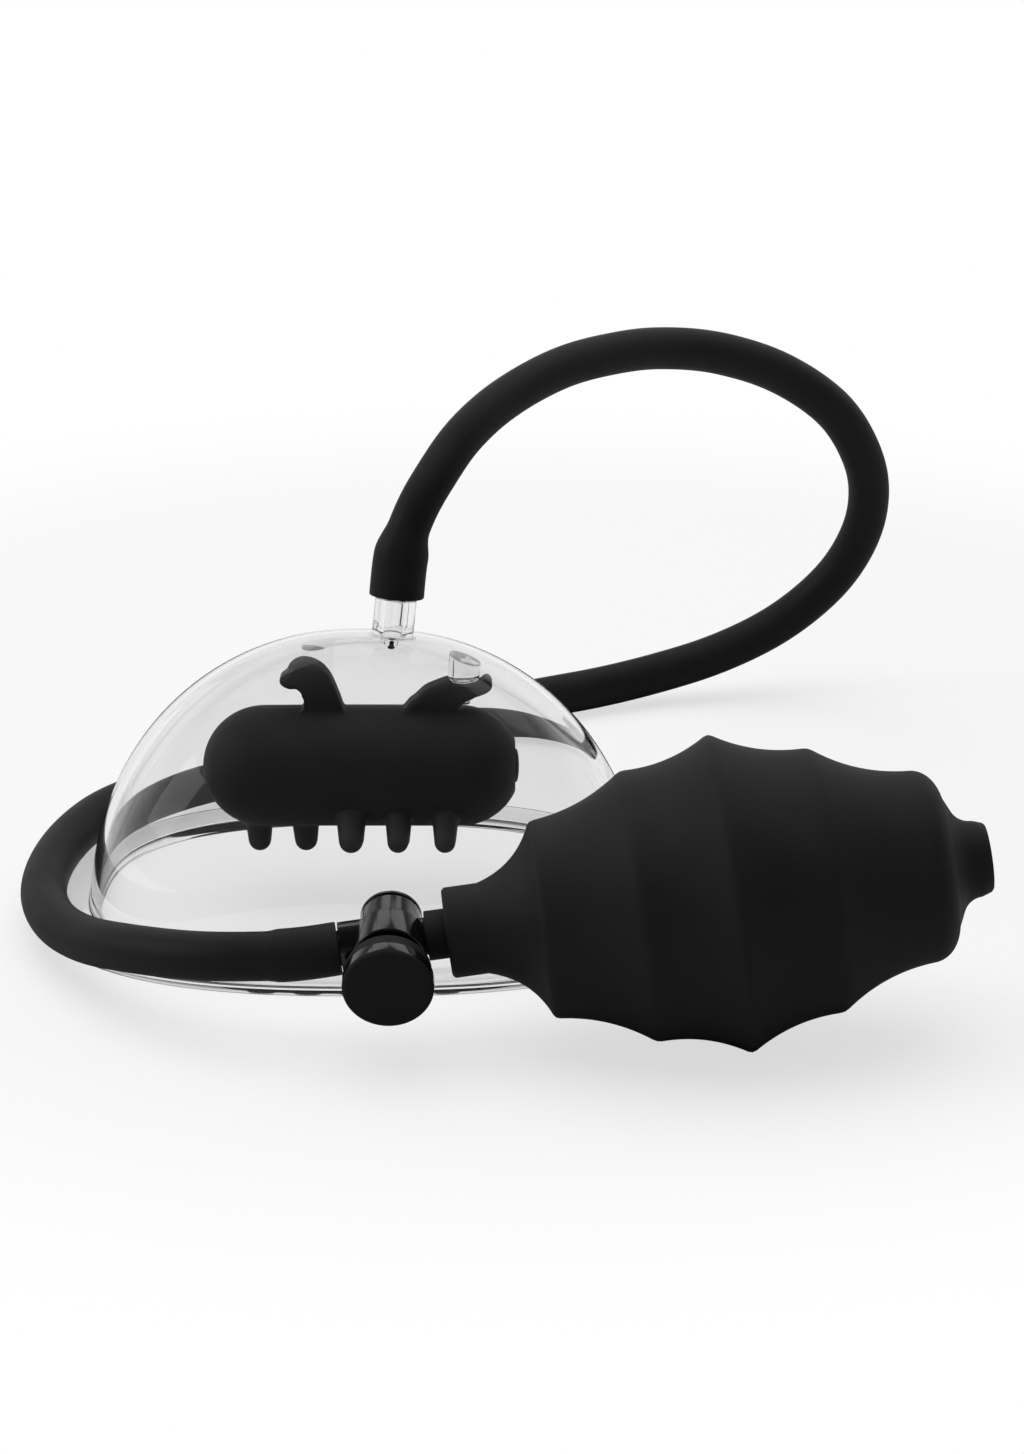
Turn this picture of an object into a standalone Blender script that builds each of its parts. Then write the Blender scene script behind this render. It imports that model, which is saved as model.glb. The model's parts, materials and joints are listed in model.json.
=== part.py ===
"""Hand bulb pump: a clear suction cup with a massage pod hung inside it, a hose, a release valve and a
ribbed squeeze bulb.

Metres, +Z up. The cup stands on its flange and the bulb lies on its widest rib, both on the plane Z = 0.
The origin is below the middle of the cup, valve and bulb together. The cup's long side runs along X, and
the bulb lies in front of it, at -Y.
"""

import math

import bmesh
import bpy
import numpy as np
from mathutils import Matrix, Vector

# Fits
SEAT_GAP = 0.0003  # between a piece and what it sits on or in
CUT_PAST = 0.0010  # how far a cutter runs past the face that it cuts

# Cup: a dome on an oval plan, with a flange round its mouth
CUP_CENTRE = (-0.0255, 0.0242)
CUP_HALF_LENGTH = 0.0545  # outside of the wall at the mouth
CUP_HALF_WIDTH = 0.0400
CUP_HEIGHT = 0.0545
CUP_WALL = 0.0022
CUP_PLAN_POWER = 2.5  # 2 would be an ellipse, more is squarer
FLANGE_WIDTH = 0.0095
FLANGE_THICKNESS = 0.0020
FLANGE_FILLET = 0.0012
CUP_SIDES = 56
CUP_RINGS = 9

# Hose nipple on the cup
NIPPLE_OFFSET = (0.0055, -0.0030)  # from the cup's centre
NIPPLE_LEAN_RIGHT = math.radians(6.0)  # towards +X
NIPPLE_LEAN_BACK = math.radians(8.0)  # towards +Y
NIPPLE_LENGTH = 0.0090
NIPPLE_RADIUS = 0.0040
NIPPLE_RING_RADIUS = 0.0046
NIPPLE_RING_HEIGHT = 0.0017
NIPPLE_SPIGOT_RADIUS = 0.0030
NIPPLE_BORE_RADIUS = 0.0019

# Pegs under the dome that carry the pod: a barrel that rests on an ear of the sleeve, and a pin through it
PEG_RADIUS = 0.0030
PEG_PIN_RADIUS = 0.0013
PEG_OFFSETS = {"left": (-0.0089, 0.0004), "right": (0.0192, 0.0004)}  # from the cup's centre
PEG_PIN_END = 0.0009  # above the sleeve's top
PEG_PIN_CHAMFER = 0.00026

# Vibrator case, its pieces listed from the button end to the nose
CELL_COUNT = 3
CELL_RADIUS = 0.0058
CELL_THICKNESS = 0.0052
CELL_GAP = 0.0003
CELL_SIDE_GAP = 0.0004
FRAME_WALL = 0.0008
CASE_WALL = 0.0011
CASE_RADIUS = CELL_RADIUS + CELL_SIDE_GAP + FRAME_WALL + SEAT_GAP + CASE_WALL
CAP_LENGTH = 0.0135
CAP_SHOULDER = 0.0075  # the rounded part of the cap
CAP_SLOPE = 1.27  # half the length of the shoulder's ellipse, in shoulder lengths
CAP_END_WALL = 0.0013
BUTTON_RADIUS = 0.0033
BUTTON_FLANGE_RADIUS = 0.0043
BUTTON_FLANGE_THICKNESS = 0.0008
BUTTON_TRAVEL = 0.0006
BUTTON_RECESS = 0.0004  # of its face behind the sleeve's end
SWITCH_RADIUS = 0.0016
SWITCH_HEIGHT = 0.0009
BOARD_THICKNESS = 0.0010
BOARD_LEDGE = 0.0010
CONTACT_SPACE = 0.0031  # from the cells to the board
CONTACT_WIRE = 0.0003
CONTACT_TURNS = 3
CONTACT_RADIUS = 0.0028
LEAD_HOLE_RADIUS = 0.0016
MOTOR_LENGTH = 0.0120
MOTOR_BOSS_RADIUS = 0.0020
MOTOR_BOSS_HEIGHT = 0.0008
MOTOR_SHAFT_RADIUS = 0.0006
MOTOR_SHAFT_LENGTH = 0.0052  # outside the can
MOTOR_SHAFT_SEAT = 0.0030  # inside it
WEIGHT_RADIUS = 0.0046
WEIGHT_THICKNESS = 0.0034
WEIGHT_FLAT = 0.0012  # of the half disc's flat face below the shaft

# Pod sleeve: a soft capsule round the vibrator, with two ears on top and nubs below
POD_OFFSET = (-0.0007, 0.0004)  # from the cup's centre
POD_DROP = 0.0268  # of its axis below the dome's top
POD_HEIGHT = CUP_HEIGHT - POD_DROP
SLEEVE_WALL = 0.0032
SLEEVE_RADIUS = CASE_RADIUS + SEAT_GAP + SLEEVE_WALL
SLEEVE_HALF_LENGTH = 0.0312
SLEEVE_NOSE_WALL = 0.0030
SLEEVE_END_WALL = 0.0037
SLEEVE_HOLE_RADIUS = 0.0046
CASE_NOSE = SLEEVE_NOSE_WALL - SLEEVE_HALF_LENGTH
CASE_END = SLEEVE_HALF_LENGTH - SLEEVE_END_WALL
EAR_THICKNESS = 0.0060
EAR_ROUNDING = 0.0009
EAR_FOOT = 0.0020  # how deep the foot of an ear or a nub is sunk in the sleeve's wall
EAR_SEATS = {"left": 0.0086, "right": 0.0054}  # height of the flat under each peg above the sleeve's top
# Outlines of the ears as (x, z) from the middle of the flat under the peg, without the flat and the foot
EAR_LEFT_INNER = ((0.0034, -0.0060),)
EAR_LEFT_OUTER = (
    (-0.0039, 0.0010),
    (-0.0052, 0.0007),
    (-0.0071, -0.0009),
    (-0.0080, -0.0025),
    (-0.0077, -0.0037),
    (-0.0064, -0.0045),
    (-0.0044, -0.0047),
    (-0.0036, -0.0065),
)
EAR_RIGHT_INNER = ((-0.0105, -0.0034), (-0.0076, -0.0006), (-0.0036, 0.0013))
EAR_RIGHT_OUTER = (
    (0.0036, 0.0010),
    (0.0050, 0.0009),
    (0.0057, -0.0005),
    (0.0052, -0.0019),
    (0.0033, -0.0030),
    (0.0006, -0.0039),
    (-0.0009, -0.0049),
)
EAR_FEET = {"left": (0.0040, -0.0034), "right": (-0.0113, -0.0015)}  # where the outline starts and ends, in x
NUB_PITCH = 0.0092
NUB_FIRST = -0.0206  # along the pod from its middle
NUB_REACH = 0.0074  # beyond the sleeve
NUB_TAPER = 1.25  # how much wider a nub is at its foot
NUBS = (  # place in the row, counted in pitches, radius at the tip, degrees from straight down towards -Y
    (0.0, 0.0022, -10.0),
    (1.0, 0.0022, -10.0),
    (2.0, 0.0022, -10.0),
    (3.0, 0.0022, -10.0),
    (4.0, 0.0022, -10.0),
    (2.04, 0.0024, 50.0),
    (3.03, 0.0022, 50.0),
    (4.02, 0.0022, 50.0),
)

# Squeeze bulb, measured along its axis from the open end of its neck
BULB_TILT = math.radians(7.4)  # its tail is higher
BULB_YAW = math.radians(3.0)  # and turned a little to +Y
BULB_NECK_AT = (-0.0085, -0.0465)  # where the end of the neck lies over the table
BULB_NECK_RADIUS = 0.0082
BULB_NECK_LENGTH = 0.0065
# Its ribs as (place, radius)
BULB_RIBS = ((0.0172, 0.0179), (0.0347, 0.0246), (0.0513, 0.0290), (0.0688, 0.0240), (0.0860, 0.0174))
BULB_LENGTH = 0.0983
BULB_TAIL_RADIUS = 0.0063
BULB_TAIL_LENGTH = 0.0045
BULB_TAIL_FILLET = 0.0040
BULB_HOLLOW = 0.0014  # how far the skin dips between two ribs
BULB_NECK_HOLLOW = 0.0018
BULB_WALL = 0.0030
BULB_SIDES = 40

# Release valve: the barrel runs from its rear end to the button at the front, across the pump's line
VALVE_TO_NECK = 0.0103  # from the barrel's axis to the end of the bulb's neck
VALVE_ROLL = math.radians(11.0)  # the button looks a little down
VALVE_LEAN = math.radians(4.4)  # the barrel stands this far from square to the neck
BARREL_RADIUS = 0.0056
BARREL_REAR = -0.0070
BARREL_FRONT = 0.0102
BAND_RADIUS = 0.0068  # the thicker middle of the barrel
BAND_START = -0.0009
BAND_LENGTH = 0.0072
BARREL_BORE = 0.0038
BARREL_CHAMFER = 0.0005
WEB_BACK = 0.0048  # the web that the stem's seal closes on
WEB_THICKNESS = 0.0020
STEM_RADIUS = 0.0013
STEM_CLEARANCE = 0.0004
POPPET_RADIUS = 0.0027
POPPET_THICKNESS = 0.0012
SEAL_WIRE = 0.0005
PRESS_TRAVEL = 0.0025
PRESS_SPARE = 0.0008  # left between the button and the barrel at the end of the travel
PUSH_RADIUS = 0.0080
PUSH_FACE_RADIUS = 0.0072
PUSH_OVERLAP = 0.0010  # of the button's skirt over the barrel
PUSH_SIDE_GAP = 0.0005
PUSH_CHAMFER = 0.0030
PUSH_BACK_CHAMFER = 0.0004
PUSH_TOP = 0.0018
SPRING_WIRE = 0.00025
SPRING_TURNS = 5
END_PLUG_THICKNESS = 0.0009
END_PLUG_SPIGOT = 0.0012
VALVE_BORE = 0.0021
TAIL_COLLAR_RADIUS = 0.0047
TAIL_COLLAR_START = 0.0030
TAIL_COLLAR_END = 0.0090
BULB_STEM_RADIUS = 0.0034
BULB_PLUG_START = 0.0066
BULB_PLUG_RADIUS = 0.0045
BULB_PLUG_DEPTH = 0.0080  # inside the bulb's neck
BARB_COUNT = 3
BARB_FIRST = 0.0012  # inside the bulb's neck
BARB_PITCH = 0.0021
BARB_LENGTHS = (0.0003, 0.0016)  # from its start to its crest and to its end
BARB_HEIGHT = 0.0002

# One-way valves: a loose disc between a seat and a cage
DISC_THICKNESS = 0.0008
DISC_LIFT = 0.0008
INTAKE_DISC_RADIUS = 0.0034
INTAKE_CAGE_WALL = 0.0008
INTAKE_CAGE_ROOF = 0.0010
INTAKE_CAGE_HOLE_RADIUS = 0.0018
EXHAUST_DISC_RADIUS = 0.0027
EXHAUST_HOUSING_RADIUS = 0.0040
EXHAUST_HOUSING_DEPTH = 0.0078
EXHAUST_SEAT_DEPTH = 0.0040  # from the tail's end
EXHAUST_SEAT_HOLE_RADIUS = 0.0015
EXHAUST_RETAINER_HOLE_RADIUS = 0.0013

# Hose, from the nipple round the loop, behind the cup, round its left end and on to the valve
HOSE_RADIUS = 0.0045
HOSE_POINTS_EVERY = 2.0  # diameters
HOSE_ROUTE = (
    (-0.0168, 0.0244, 0.0758),
    (-0.0149, 0.0262, 0.0804),
    (-0.0115, 0.0299, 0.0852),
    (-0.0065, 0.0377, 0.0907),
    (0.0017, 0.0508, 0.0948),
    (0.0134, 0.0667, 0.0971),
    (0.0255, 0.0817, 0.0963),
    (0.0348, 0.0922, 0.0944),
    (0.0466, 0.1032, 0.0905),
    (0.0605, 0.1152, 0.0830),
    (0.0731, 0.1248, 0.0721),
    (0.0803, 0.1326, 0.0591),
    (0.0823, 0.1378, 0.0484),
    (0.0807, 0.1417, 0.0380),
    (0.0748, 0.1444, 0.0270),
    (0.0636, 0.1454, 0.0167),
    (0.0500, 0.1432, 0.0103),
    (0.0364, 0.1397, 0.0069),
    (0.0227, 0.1347, 0.0051),
    (0.0090, 0.1280, 0.0048),
    (-0.0065, 0.1182, 0.0048),
    (-0.0230, 0.1062, 0.0048),
    (-0.0395, 0.0932, 0.0049),
    (-0.0550, 0.0806, 0.0054),
    (-0.0690, 0.0679, 0.0064),
    (-0.0796, 0.0536, 0.0072),
    (-0.0854, 0.0384, 0.0073),
    (-0.0880, 0.0220, 0.0073),
    (-0.0875, 0.0065, 0.0073),
    (-0.0835, -0.0075, 0.0078),
    (-0.0770, -0.0190, 0.0093),
    (-0.0692, -0.0295, 0.0122),
    (-0.0601, -0.0382, 0.0147),
    (-0.0510, -0.0442, 0.0166),
)


# --- Scene and materials ---


def clear_scene():
    for old in list(bpy.data.objects):
        bpy.data.objects.remove(old, do_unlink=True)


MATERIALS = {
    # name: (colour, metallic, roughness, alpha)
    "clear_acrylic": ((0.93, 0.95, 0.96), 0.0, 0.05, 0.25),
    "black_silicone": ((0.022, 0.022, 0.022), 0.0, 0.55, 1.0),
    "black_rubber": ((0.018, 0.018, 0.018), 0.0, 0.62, 1.0),
    "glossy_plastic": ((0.014, 0.014, 0.015), 0.0, 0.12, 1.0),
    "satin_plastic": ((0.020, 0.020, 0.020), 0.0, 0.45, 1.0),
    "valve_silicone": ((0.060, 0.060, 0.060), 0.0, 0.50, 1.0),
    "steel": ((0.620, 0.620, 0.630), 1.0, 0.30, 1.0),
    "brass": ((0.780, 0.570, 0.280), 1.0, 0.35, 1.0),
    "circuit_board": ((0.020, 0.180, 0.060), 0.0, 0.50, 1.0),
}


def material(name):
    found = bpy.data.materials.get(name)
    if found:
        return found
    colour, metallic, roughness, alpha = MATERIALS[name]
    made = bpy.data.materials.new(name)
    made.use_nodes = True
    shader = made.node_tree.nodes["Principled BSDF"]
    shader.inputs["Base Color"].default_value = (*colour, 1.0)
    shader.inputs["Metallic"].default_value = metallic
    shader.inputs["Roughness"].default_value = roughness
    shader.inputs["Alpha"].default_value = alpha
    return made


def empty(name, parent=None, location=(0, 0, 0), turn=None):
    frame = bpy.data.objects.new(name, None)
    bpy.context.scene.collection.objects.link(frame)
    frame.parent = parent
    frame.matrix_local = Matrix.Translation(location) @ (turn or Matrix.Identity(4))
    return frame


def added(name, data, finish, parent, location=(0, 0, 0), turn=None):
    """The object that holds this mesh or curve, with its material, in its place under its parent."""
    piece = bpy.data.objects.new(name, data)
    bpy.context.scene.collection.objects.link(piece)
    data.materials.append(material(finish))
    piece.parent = parent
    piece.matrix_local = Matrix.Translation(location) @ (turn or Matrix.Identity(4))
    return piece


def mesh_from(name, bm):
    bmesh.ops.remove_doubles(bm, verts=bm.verts, dist=1e-6)
    bmesh.ops.recalc_face_normals(bm, faces=bm.faces)
    data = bpy.data.meshes.new(name)
    bm.to_mesh(data)
    bm.free()
    data.shade_smooth()
    data.set_sharp_from_angle(angle=math.radians(32))
    return data


def helper(piece):
    piece.hide_render = True
    piece.display_type = "WIRE"
    return piece


def boolean(piece, other, operation):
    step = piece.modifiers.new(f"{operation.lower()} {other.name}", "BOOLEAN")
    step.operation = operation
    step.solver = "EXACT"
    step.object = other
    return piece


# --- Shapes ---


def turned(name, outline, sides):
    """A mesh turned about local X. The outline is a list of (along, radius). Where it doesn't end on the axis
    it is closed from its last point to its first, which leaves a bore."""
    bm = bmesh.new()
    corners = [bm.verts.new((along, radius, 0.0)) for along, radius in outline]
    edges = [bm.edges.new(pair) for pair in zip(corners, corners[1:])]
    if outline[0][1] > 0 or outline[-1][1] > 0:
        edges.append(bm.edges.new((corners[-1], corners[0])))
    bmesh.ops.spin(
        bm,
        geom=corners + edges,
        axis=(1, 0, 0),
        cent=(0, 0, 0),
        angle=2 * math.pi,
        steps=sides,
        use_duplicate=False,
    )
    return mesh_from(name, bm)


def disc(start, end, radius, bore=0.0):
    """Outline of a disc, or of a ring where it has a bore."""
    return [(start, bore), (start, radius), (end, radius), (end, bore)]


def chamfered(start, end, radius, chamfer):
    """Outline of a disc with chamfered edges."""
    rim = [(start, radius - chamfer), (start + chamfer, radius), (end - chamfer, radius)]
    return [(start, 0)] + rim + [(end, radius - chamfer), (end, 0)]


def arc(centre, radii, first, last, steps):
    """Points on an ellipse quarter or part, as (along, radius), from one angle to the other in degrees."""
    angles = np.radians(np.linspace(first, last, steps + 1))
    return [(centre[0] + radii[0] * math.cos(a), centre[1] + radii[1] * math.sin(a)) for a in angles]


def dip(start, end, depth, steps):
    """Points between two ribs on a curve that dips towards the axis by this depth, without its two ends."""
    start, end = Vector(start), Vector(end)
    chord = end - start
    inward = Vector((chord.y, -chord.x)).normalized()
    shares = np.linspace(0, 1, steps + 2)[1:-1]
    return [tuple(start + chord * t + inward * depth * 4 * t * (1 - t)) for t in shares]


def oval(half_length, half_width, height, sides=CUP_SIDES):
    """A level ring of points on the cup's plan curve, a superellipse."""
    angle = np.linspace(0, 2 * np.pi, sides, endpoint=False)
    cos, sin = np.cos(angle), np.sin(angle)
    power = 2 / CUP_PLAN_POWER
    x = half_length * np.sign(cos) * np.abs(cos) ** power
    y = half_width * np.sign(sin) * np.abs(sin) ** power
    return [(float(a), float(b), height) for a, b in zip(x, y)]


def dome_rings(inset, lowest, rings=CUP_RINGS):
    """Rings of the dome from just under its top down to this height, drawn in from the outside by the inset.
    Upright sections of the dome are half ellipses."""
    length, width, top = CUP_HALF_LENGTH - inset, CUP_HALF_WIDTH - inset, CUP_HEIGHT - inset
    angles = np.linspace(0, math.acos(lowest / top), rings + 1)[1:]
    return [oval(length * math.sin(a), width * math.sin(a), top * math.cos(a)) for a in angles]


def lofted(name, rings, first_tip=None, last_tip=None):
    """A mesh through level rings with as many points each, closed by a point or a flat face at each end."""
    bm = bmesh.new()
    loops = [[bm.verts.new(point) for point in ring] for ring in rings]
    for upper, lower in zip(loops, loops[1:]):
        for i in range(len(upper)):
            j = (i + 1) % len(upper)
            bm.faces.new((upper[i], upper[j], lower[j], lower[i]))
    for loop, tip in ((loops[0], first_tip), (loops[-1], last_tip)):
        if tip is None:
            bm.faces.new(loop)
            continue
        point = bm.verts.new(tip)
        for i in range(len(loop)):
            bm.faces.new((point, loop[i], loop[(i + 1) % len(loop)]))
    return mesh_from(name, bm)


def dome_solid(name, inset, lowest=-0.002):
    """The whole space under the dome, drawn in by the inset, for cutting pieces to the dome's skin."""
    rings = dome_rings(inset, FLANGE_FILLET)
    base = [(x, y, lowest) for x, y, _ in rings[-1]]
    return lofted(name, rings + [base], first_tip=(0, 0, CUP_HEIGHT - inset))


def dome_height(x, y, inset=0.0):
    """Height of the dome's skin over a point given from the cup's centre."""
    reach_x = abs(x) / (CUP_HALF_LENGTH - inset)
    reach_y = abs(y) / (CUP_HALF_WIDTH - inset)
    reach = (reach_x**CUP_PLAN_POWER + reach_y**CUP_PLAN_POWER) ** (1 / CUP_PLAN_POWER)
    return (CUP_HEIGHT - inset) * math.sqrt(max(0.0, 1 - reach**2))


def plate(name, outline, low, high, bevel):
    """An upright plate: an outline of (x, z) given a thickness along Y, with rounded edges."""
    bm = bmesh.new()
    face = bm.faces.new([bm.verts.new((x, low, z)) for x, z in outline])
    swept = bmesh.ops.extrude_face_region(bm, geom=[face])
    moved = [item for item in swept["geom"] if isinstance(item, bmesh.types.BMVert)]
    bmesh.ops.translate(bm, verts=moved, vec=(0, high - low, 0))
    rims = [edge for edge in bm.edges if abs(edge.verts[0].co.y - edge.verts[1].co.y) < 1e-6]
    bmesh.ops.bevel(bm, geom=rims, offset=bevel, segments=2, profile=0.5, affect="EDGES")
    return mesh_from(name, bm)


def smooth_path(points, spacing):
    """Points at this spacing on a Catmull-Rom curve, which goes through all the given points."""
    knots = np.array(points, dtype=float)
    padded = np.vstack([2 * knots[0] - knots[1], knots, 2 * knots[-1] - knots[-2]])
    t = np.linspace(0, 1, 24, endpoint=False)[:, None]
    pieces = []
    for a, b, c, d in zip(padded, padded[1:], padded[2:], padded[3:]):
        square = (2 * a - 5 * b + 4 * c - d) * t**2
        cube = (3 * b - a - 3 * c + d) * t**3
        pieces.append(0.5 * (2 * b + (c - a) * t + square + cube))
    fine = np.vstack(pieces + [knots[-1:]])
    run = np.concatenate([[0], np.cumsum(np.linalg.norm(np.diff(fine, axis=0), axis=1))])
    count = max(2, round(run[-1] / spacing))
    at = np.linspace(0, run[-1], count + 1)
    return [tuple(float(np.interp(s, run, fine[:, k])) for k in range(3)) for s in at], float(run[-1])


def rod(name, points, radius, resolution):
    """A round rod along these points, with flat ends."""
    data = bpy.data.curves.new(name, "CURVE")
    data.dimensions = "3D"
    data.bevel_depth = radius
    data.bevel_resolution = resolution
    data.use_fill_caps = True
    data.twist_mode = "MINIMUM"
    spline = data.splines.new("POLY")
    spline.points.add(len(points) - 1)
    for point, place in zip(spline.points, points):
        point.co = (*place, 1.0)
    return data


def coil(start, end, radius, turns, per_turn=10):
    """Points of a helix round local X."""
    count = round(turns * per_turn)
    found = []
    for i in range(count + 1):
        angle = 2 * math.pi * turns * i / count
        found.append((start + (end - start) * i / count, radius * math.cos(angle), radius * math.sin(angle)))
    return found


# --- Cup ---


def nipple_frame(cup):
    """On the dome's skin under the nipple, with local X along the nipple."""
    x, y = NIPPLE_OFFSET
    lean = Matrix.Rotation(NIPPLE_LEAN_RIGHT, 4, "Y") @ Matrix.Rotation(-NIPPLE_LEAN_BACK, 4, "X")
    upright = Matrix.Rotation(math.radians(-90), 4, "Y")
    return empty("nipple_frame", cup, (x, y, dome_height(x, y)), lean @ upright)


def make_cup(cup, nipple):
    outside = dome_rings(0.0, FLANGE_THICKNESS + FLANGE_FILLET)
    inside = dome_rings(CUP_WALL, FLANGE_FILLET)
    edge = FLANGE_THICKNESS / 2
    # The flange's rings as (distance out from the dome's foot, height), from its top round to the mouth
    rim = [(FLANGE_FILLET, FLANGE_THICKNESS), (FLANGE_WIDTH - edge, FLANGE_THICKNESS)]
    rim += [(FLANGE_WIDTH - edge * 0.3, FLANGE_THICKNESS - edge * 0.3), (FLANGE_WIDTH, edge)]
    rim += [(FLANGE_WIDTH - edge * 0.5, 0.0), (FLANGE_FILLET - CUP_WALL, 0.0)]
    flange = [oval(CUP_HALF_LENGTH + out, CUP_HALF_WIDTH + out, height) for out, height in rim]
    rings = outside + flange + inside[::-1]
    skin = lofted("cup_shell", rings, (0, 0, CUP_HEIGHT), (0, 0, CUP_HEIGHT - CUP_WALL))
    shell = added("cup_shell", skin, "clear_acrylic", cup)
    hole = disc(-3 * CUP_WALL, 3 * CUP_WALL, NIPPLE_SPIGOT_RADIUS + SEAT_GAP)
    cutter = helper(added("nipple_hole", turned("nipple_hole", hole, 24), "clear_acrylic", nipple))
    return boolean(shell, cutter, "DIFFERENCE")


def make_nipple(cup, nipple):
    """A bored tube on a ring that is cut to the dome's skin, with a spigot through the dome."""
    sunk = 2 * CUP_WALL
    ring = NIPPLE_RING_HEIGHT
    outline = [
        (-sunk, 0),
        (-sunk, NIPPLE_RING_RADIUS),
        (ring * 0.8, NIPPLE_RING_RADIUS),
        (ring, NIPPLE_RING_RADIUS - ring * 0.2),
        (ring, NIPPLE_RADIUS),
        (NIPPLE_LENGTH, NIPPLE_RADIUS),
        (NIPPLE_LENGTH, 0),
    ]
    piece = added("cup_nipple", turned("cup_nipple", outline, 24), "clear_acrylic", nipple)
    skin = helper(added("dome_outside", dome_solid("dome_outside", -SEAT_GAP), "clear_acrylic", cup))
    boolean(piece, skin, "DIFFERENCE")
    outline = disc(-1.6 * CUP_WALL, ring, NIPPLE_SPIGOT_RADIUS)
    spigot = added("nipple_spigot", turned("nipple_spigot", outline, 24), "clear_acrylic", nipple)
    boolean(piece, helper(spigot), "UNION")
    outline = disc(-2 * sunk, NIPPLE_LENGTH + sunk, NIPPLE_BORE_RADIUS)
    bore = added("nipple_bore", turned("nipple_bore", outline, 20), "clear_acrylic", nipple)
    return boolean(piece, helper(bore), "DIFFERENCE")


def make_pegs(cup):
    """Pegs that hang from the dome, cut to its inner skin, each with a thin pin at its lower end."""
    under = helper(added("dome_inside", dome_solid("dome_inside", CUP_WALL + SEAT_GAP), "clear_acrylic", cup))
    upright = Matrix.Rotation(math.radians(-90), 4, "Y")
    pin_end = POD_HEIGHT + SLEEVE_RADIUS + PEG_PIN_END
    for side, (x, y) in PEG_OFFSETS.items():
        pin = EAR_SEATS[side] + SEAT_GAP - PEG_PIN_END
        outline = [
            (0, 0),
            (0, PEG_PIN_RADIUS - PEG_PIN_CHAMFER),
            (PEG_PIN_CHAMFER, PEG_PIN_RADIUS),
            (pin, PEG_PIN_RADIUS),
            (pin, PEG_RADIUS),
            (CUP_HEIGHT - pin_end, PEG_RADIUS),
            (CUP_HEIGHT - pin_end, 0),
        ]
        name = f"hanger_peg_{side}"
        peg = added(name, turned(name, outline, 24), "clear_acrylic", cup, (x, y, pin_end), upright)
        boolean(peg, under, "INTERSECT")


# --- Pod ---


def case_outline(grow=0.0):
    """Half of the vibrator's outside, grown all round: a round nose, a straight run and a shoulder."""
    radius = CASE_RADIUS + grow
    nose = CASE_NOSE + CASE_RADIUS
    points = arc((nose, 0), (radius, radius), 180, 90, 6)
    shoulder = CASE_END - CAP_SHOULDER
    last = 90 - math.degrees(math.asin(1 / CAP_SLOPE))
    points += arc((shoulder, 0), (CAP_SLOPE * CAP_SHOULDER, radius), 90, last, 4)
    points[0] = (points[0][0], 0.0)
    return points


def ear_outline(side):
    """Outline of an ear as (x, z) from the pod's middle. The foot is sunk in the sleeve's wall."""
    peg = PEG_OFFSETS[side][0] - POD_OFFSET[0]
    seat = SLEEVE_RADIUS + EAR_SEATS[side]
    foot = SLEEVE_RADIUS - EAR_FOOT
    half = PEG_RADIUS + SEAT_GAP
    if side == "left":
        shape = [*EAR_LEFT_INNER, (half, -SEAT_GAP), (half - SEAT_GAP, 0), (-half, 0), *EAR_LEFT_OUTER]
    else:
        shape = [*EAR_RIGHT_INNER, (-half, 0), (half, 0), *EAR_RIGHT_OUTER]
    first, last = EAR_FEET[side]
    return [(peg + first, foot)] + [(peg + x, seat + z) for x, z in shape] + [(peg + last, foot)]


def make_sleeve(pod):
    straight = SLEEVE_HALF_LENGTH - SLEEVE_RADIUS
    outside = arc((-straight, 0), (SLEEVE_RADIUS, SLEEVE_RADIUS), 180, 90, 8)
    last = math.degrees(math.asin(SLEEVE_HOLE_RADIUS / SLEEVE_RADIUS))
    outside += arc((straight, 0), (SLEEVE_RADIUS, SLEEVE_RADIUS), 90, last, 7)
    outside[0] = (outside[0][0], 0.0)
    cavity = case_outline(SEAT_GAP)
    end = CASE_END + SEAT_GAP
    cavity[-1] = (end, cavity[-1][1])
    outline = outside + [(end, SLEEVE_HOLE_RADIUS)] + cavity[::-1]
    sleeve = added("pod_sleeve", turned("pod_sleeve", outline, 32), "black_silicone", pod)
    half = EAR_THICKNESS / 2
    for side, place in PEG_OFFSETS.items():
        x, y = place[0] - POD_OFFSET[0], place[1] - POD_OFFSET[1]
        solid = plate(f"ear_{side}", ear_outline(side), y - half, y + half, EAR_ROUNDING)
        boolean(sleeve, helper(added(f"ear_{side}", solid, "black_silicone", pod)), "UNION")
        depth = SLEEVE_RADIUS + PEG_PIN_END - SEAT_GAP
        hole = disc(0, EAR_SEATS[side] + PEG_RADIUS, PEG_PIN_RADIUS + SEAT_GAP)
        upright = Matrix.Rotation(math.radians(-90), 4, "Y")
        name = f"eyelet_{side}"
        eyelet = helper(added(name, turned(name, hole, 16), "black_silicone", pod, (x, y, depth), upright))
        boolean(sleeve, eyelet, "DIFFERENCE")
    for number, nub in enumerate(NUBS):
        boolean(sleeve, helper(make_nub(pod, number, *nub)), "UNION")
    return sleeve


def make_nub(pod, number, pitches, radius, lean):
    """A round-ended finger, its foot sunk in the sleeve's wall."""
    foot = SLEEVE_RADIUS - EAR_FOOT
    tip = SLEEVE_RADIUS + NUB_REACH
    outline = [(foot, 0), (foot, radius * NUB_TAPER)] + arc((tip - radius, 0), (radius, radius), 90, 0, 4)
    outline[-1] = (tip, 0.0)
    down = Matrix.Rotation(math.radians(-lean), 4, "X") @ Matrix.Rotation(math.radians(90), 4, "Y")
    along = NUB_FIRST + pitches * NUB_PITCH
    name = f"nub_{number + 1}"
    return added(name, turned(name, outline, 14), "black_silicone", pod, (along, 0, 0), down)


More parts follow.
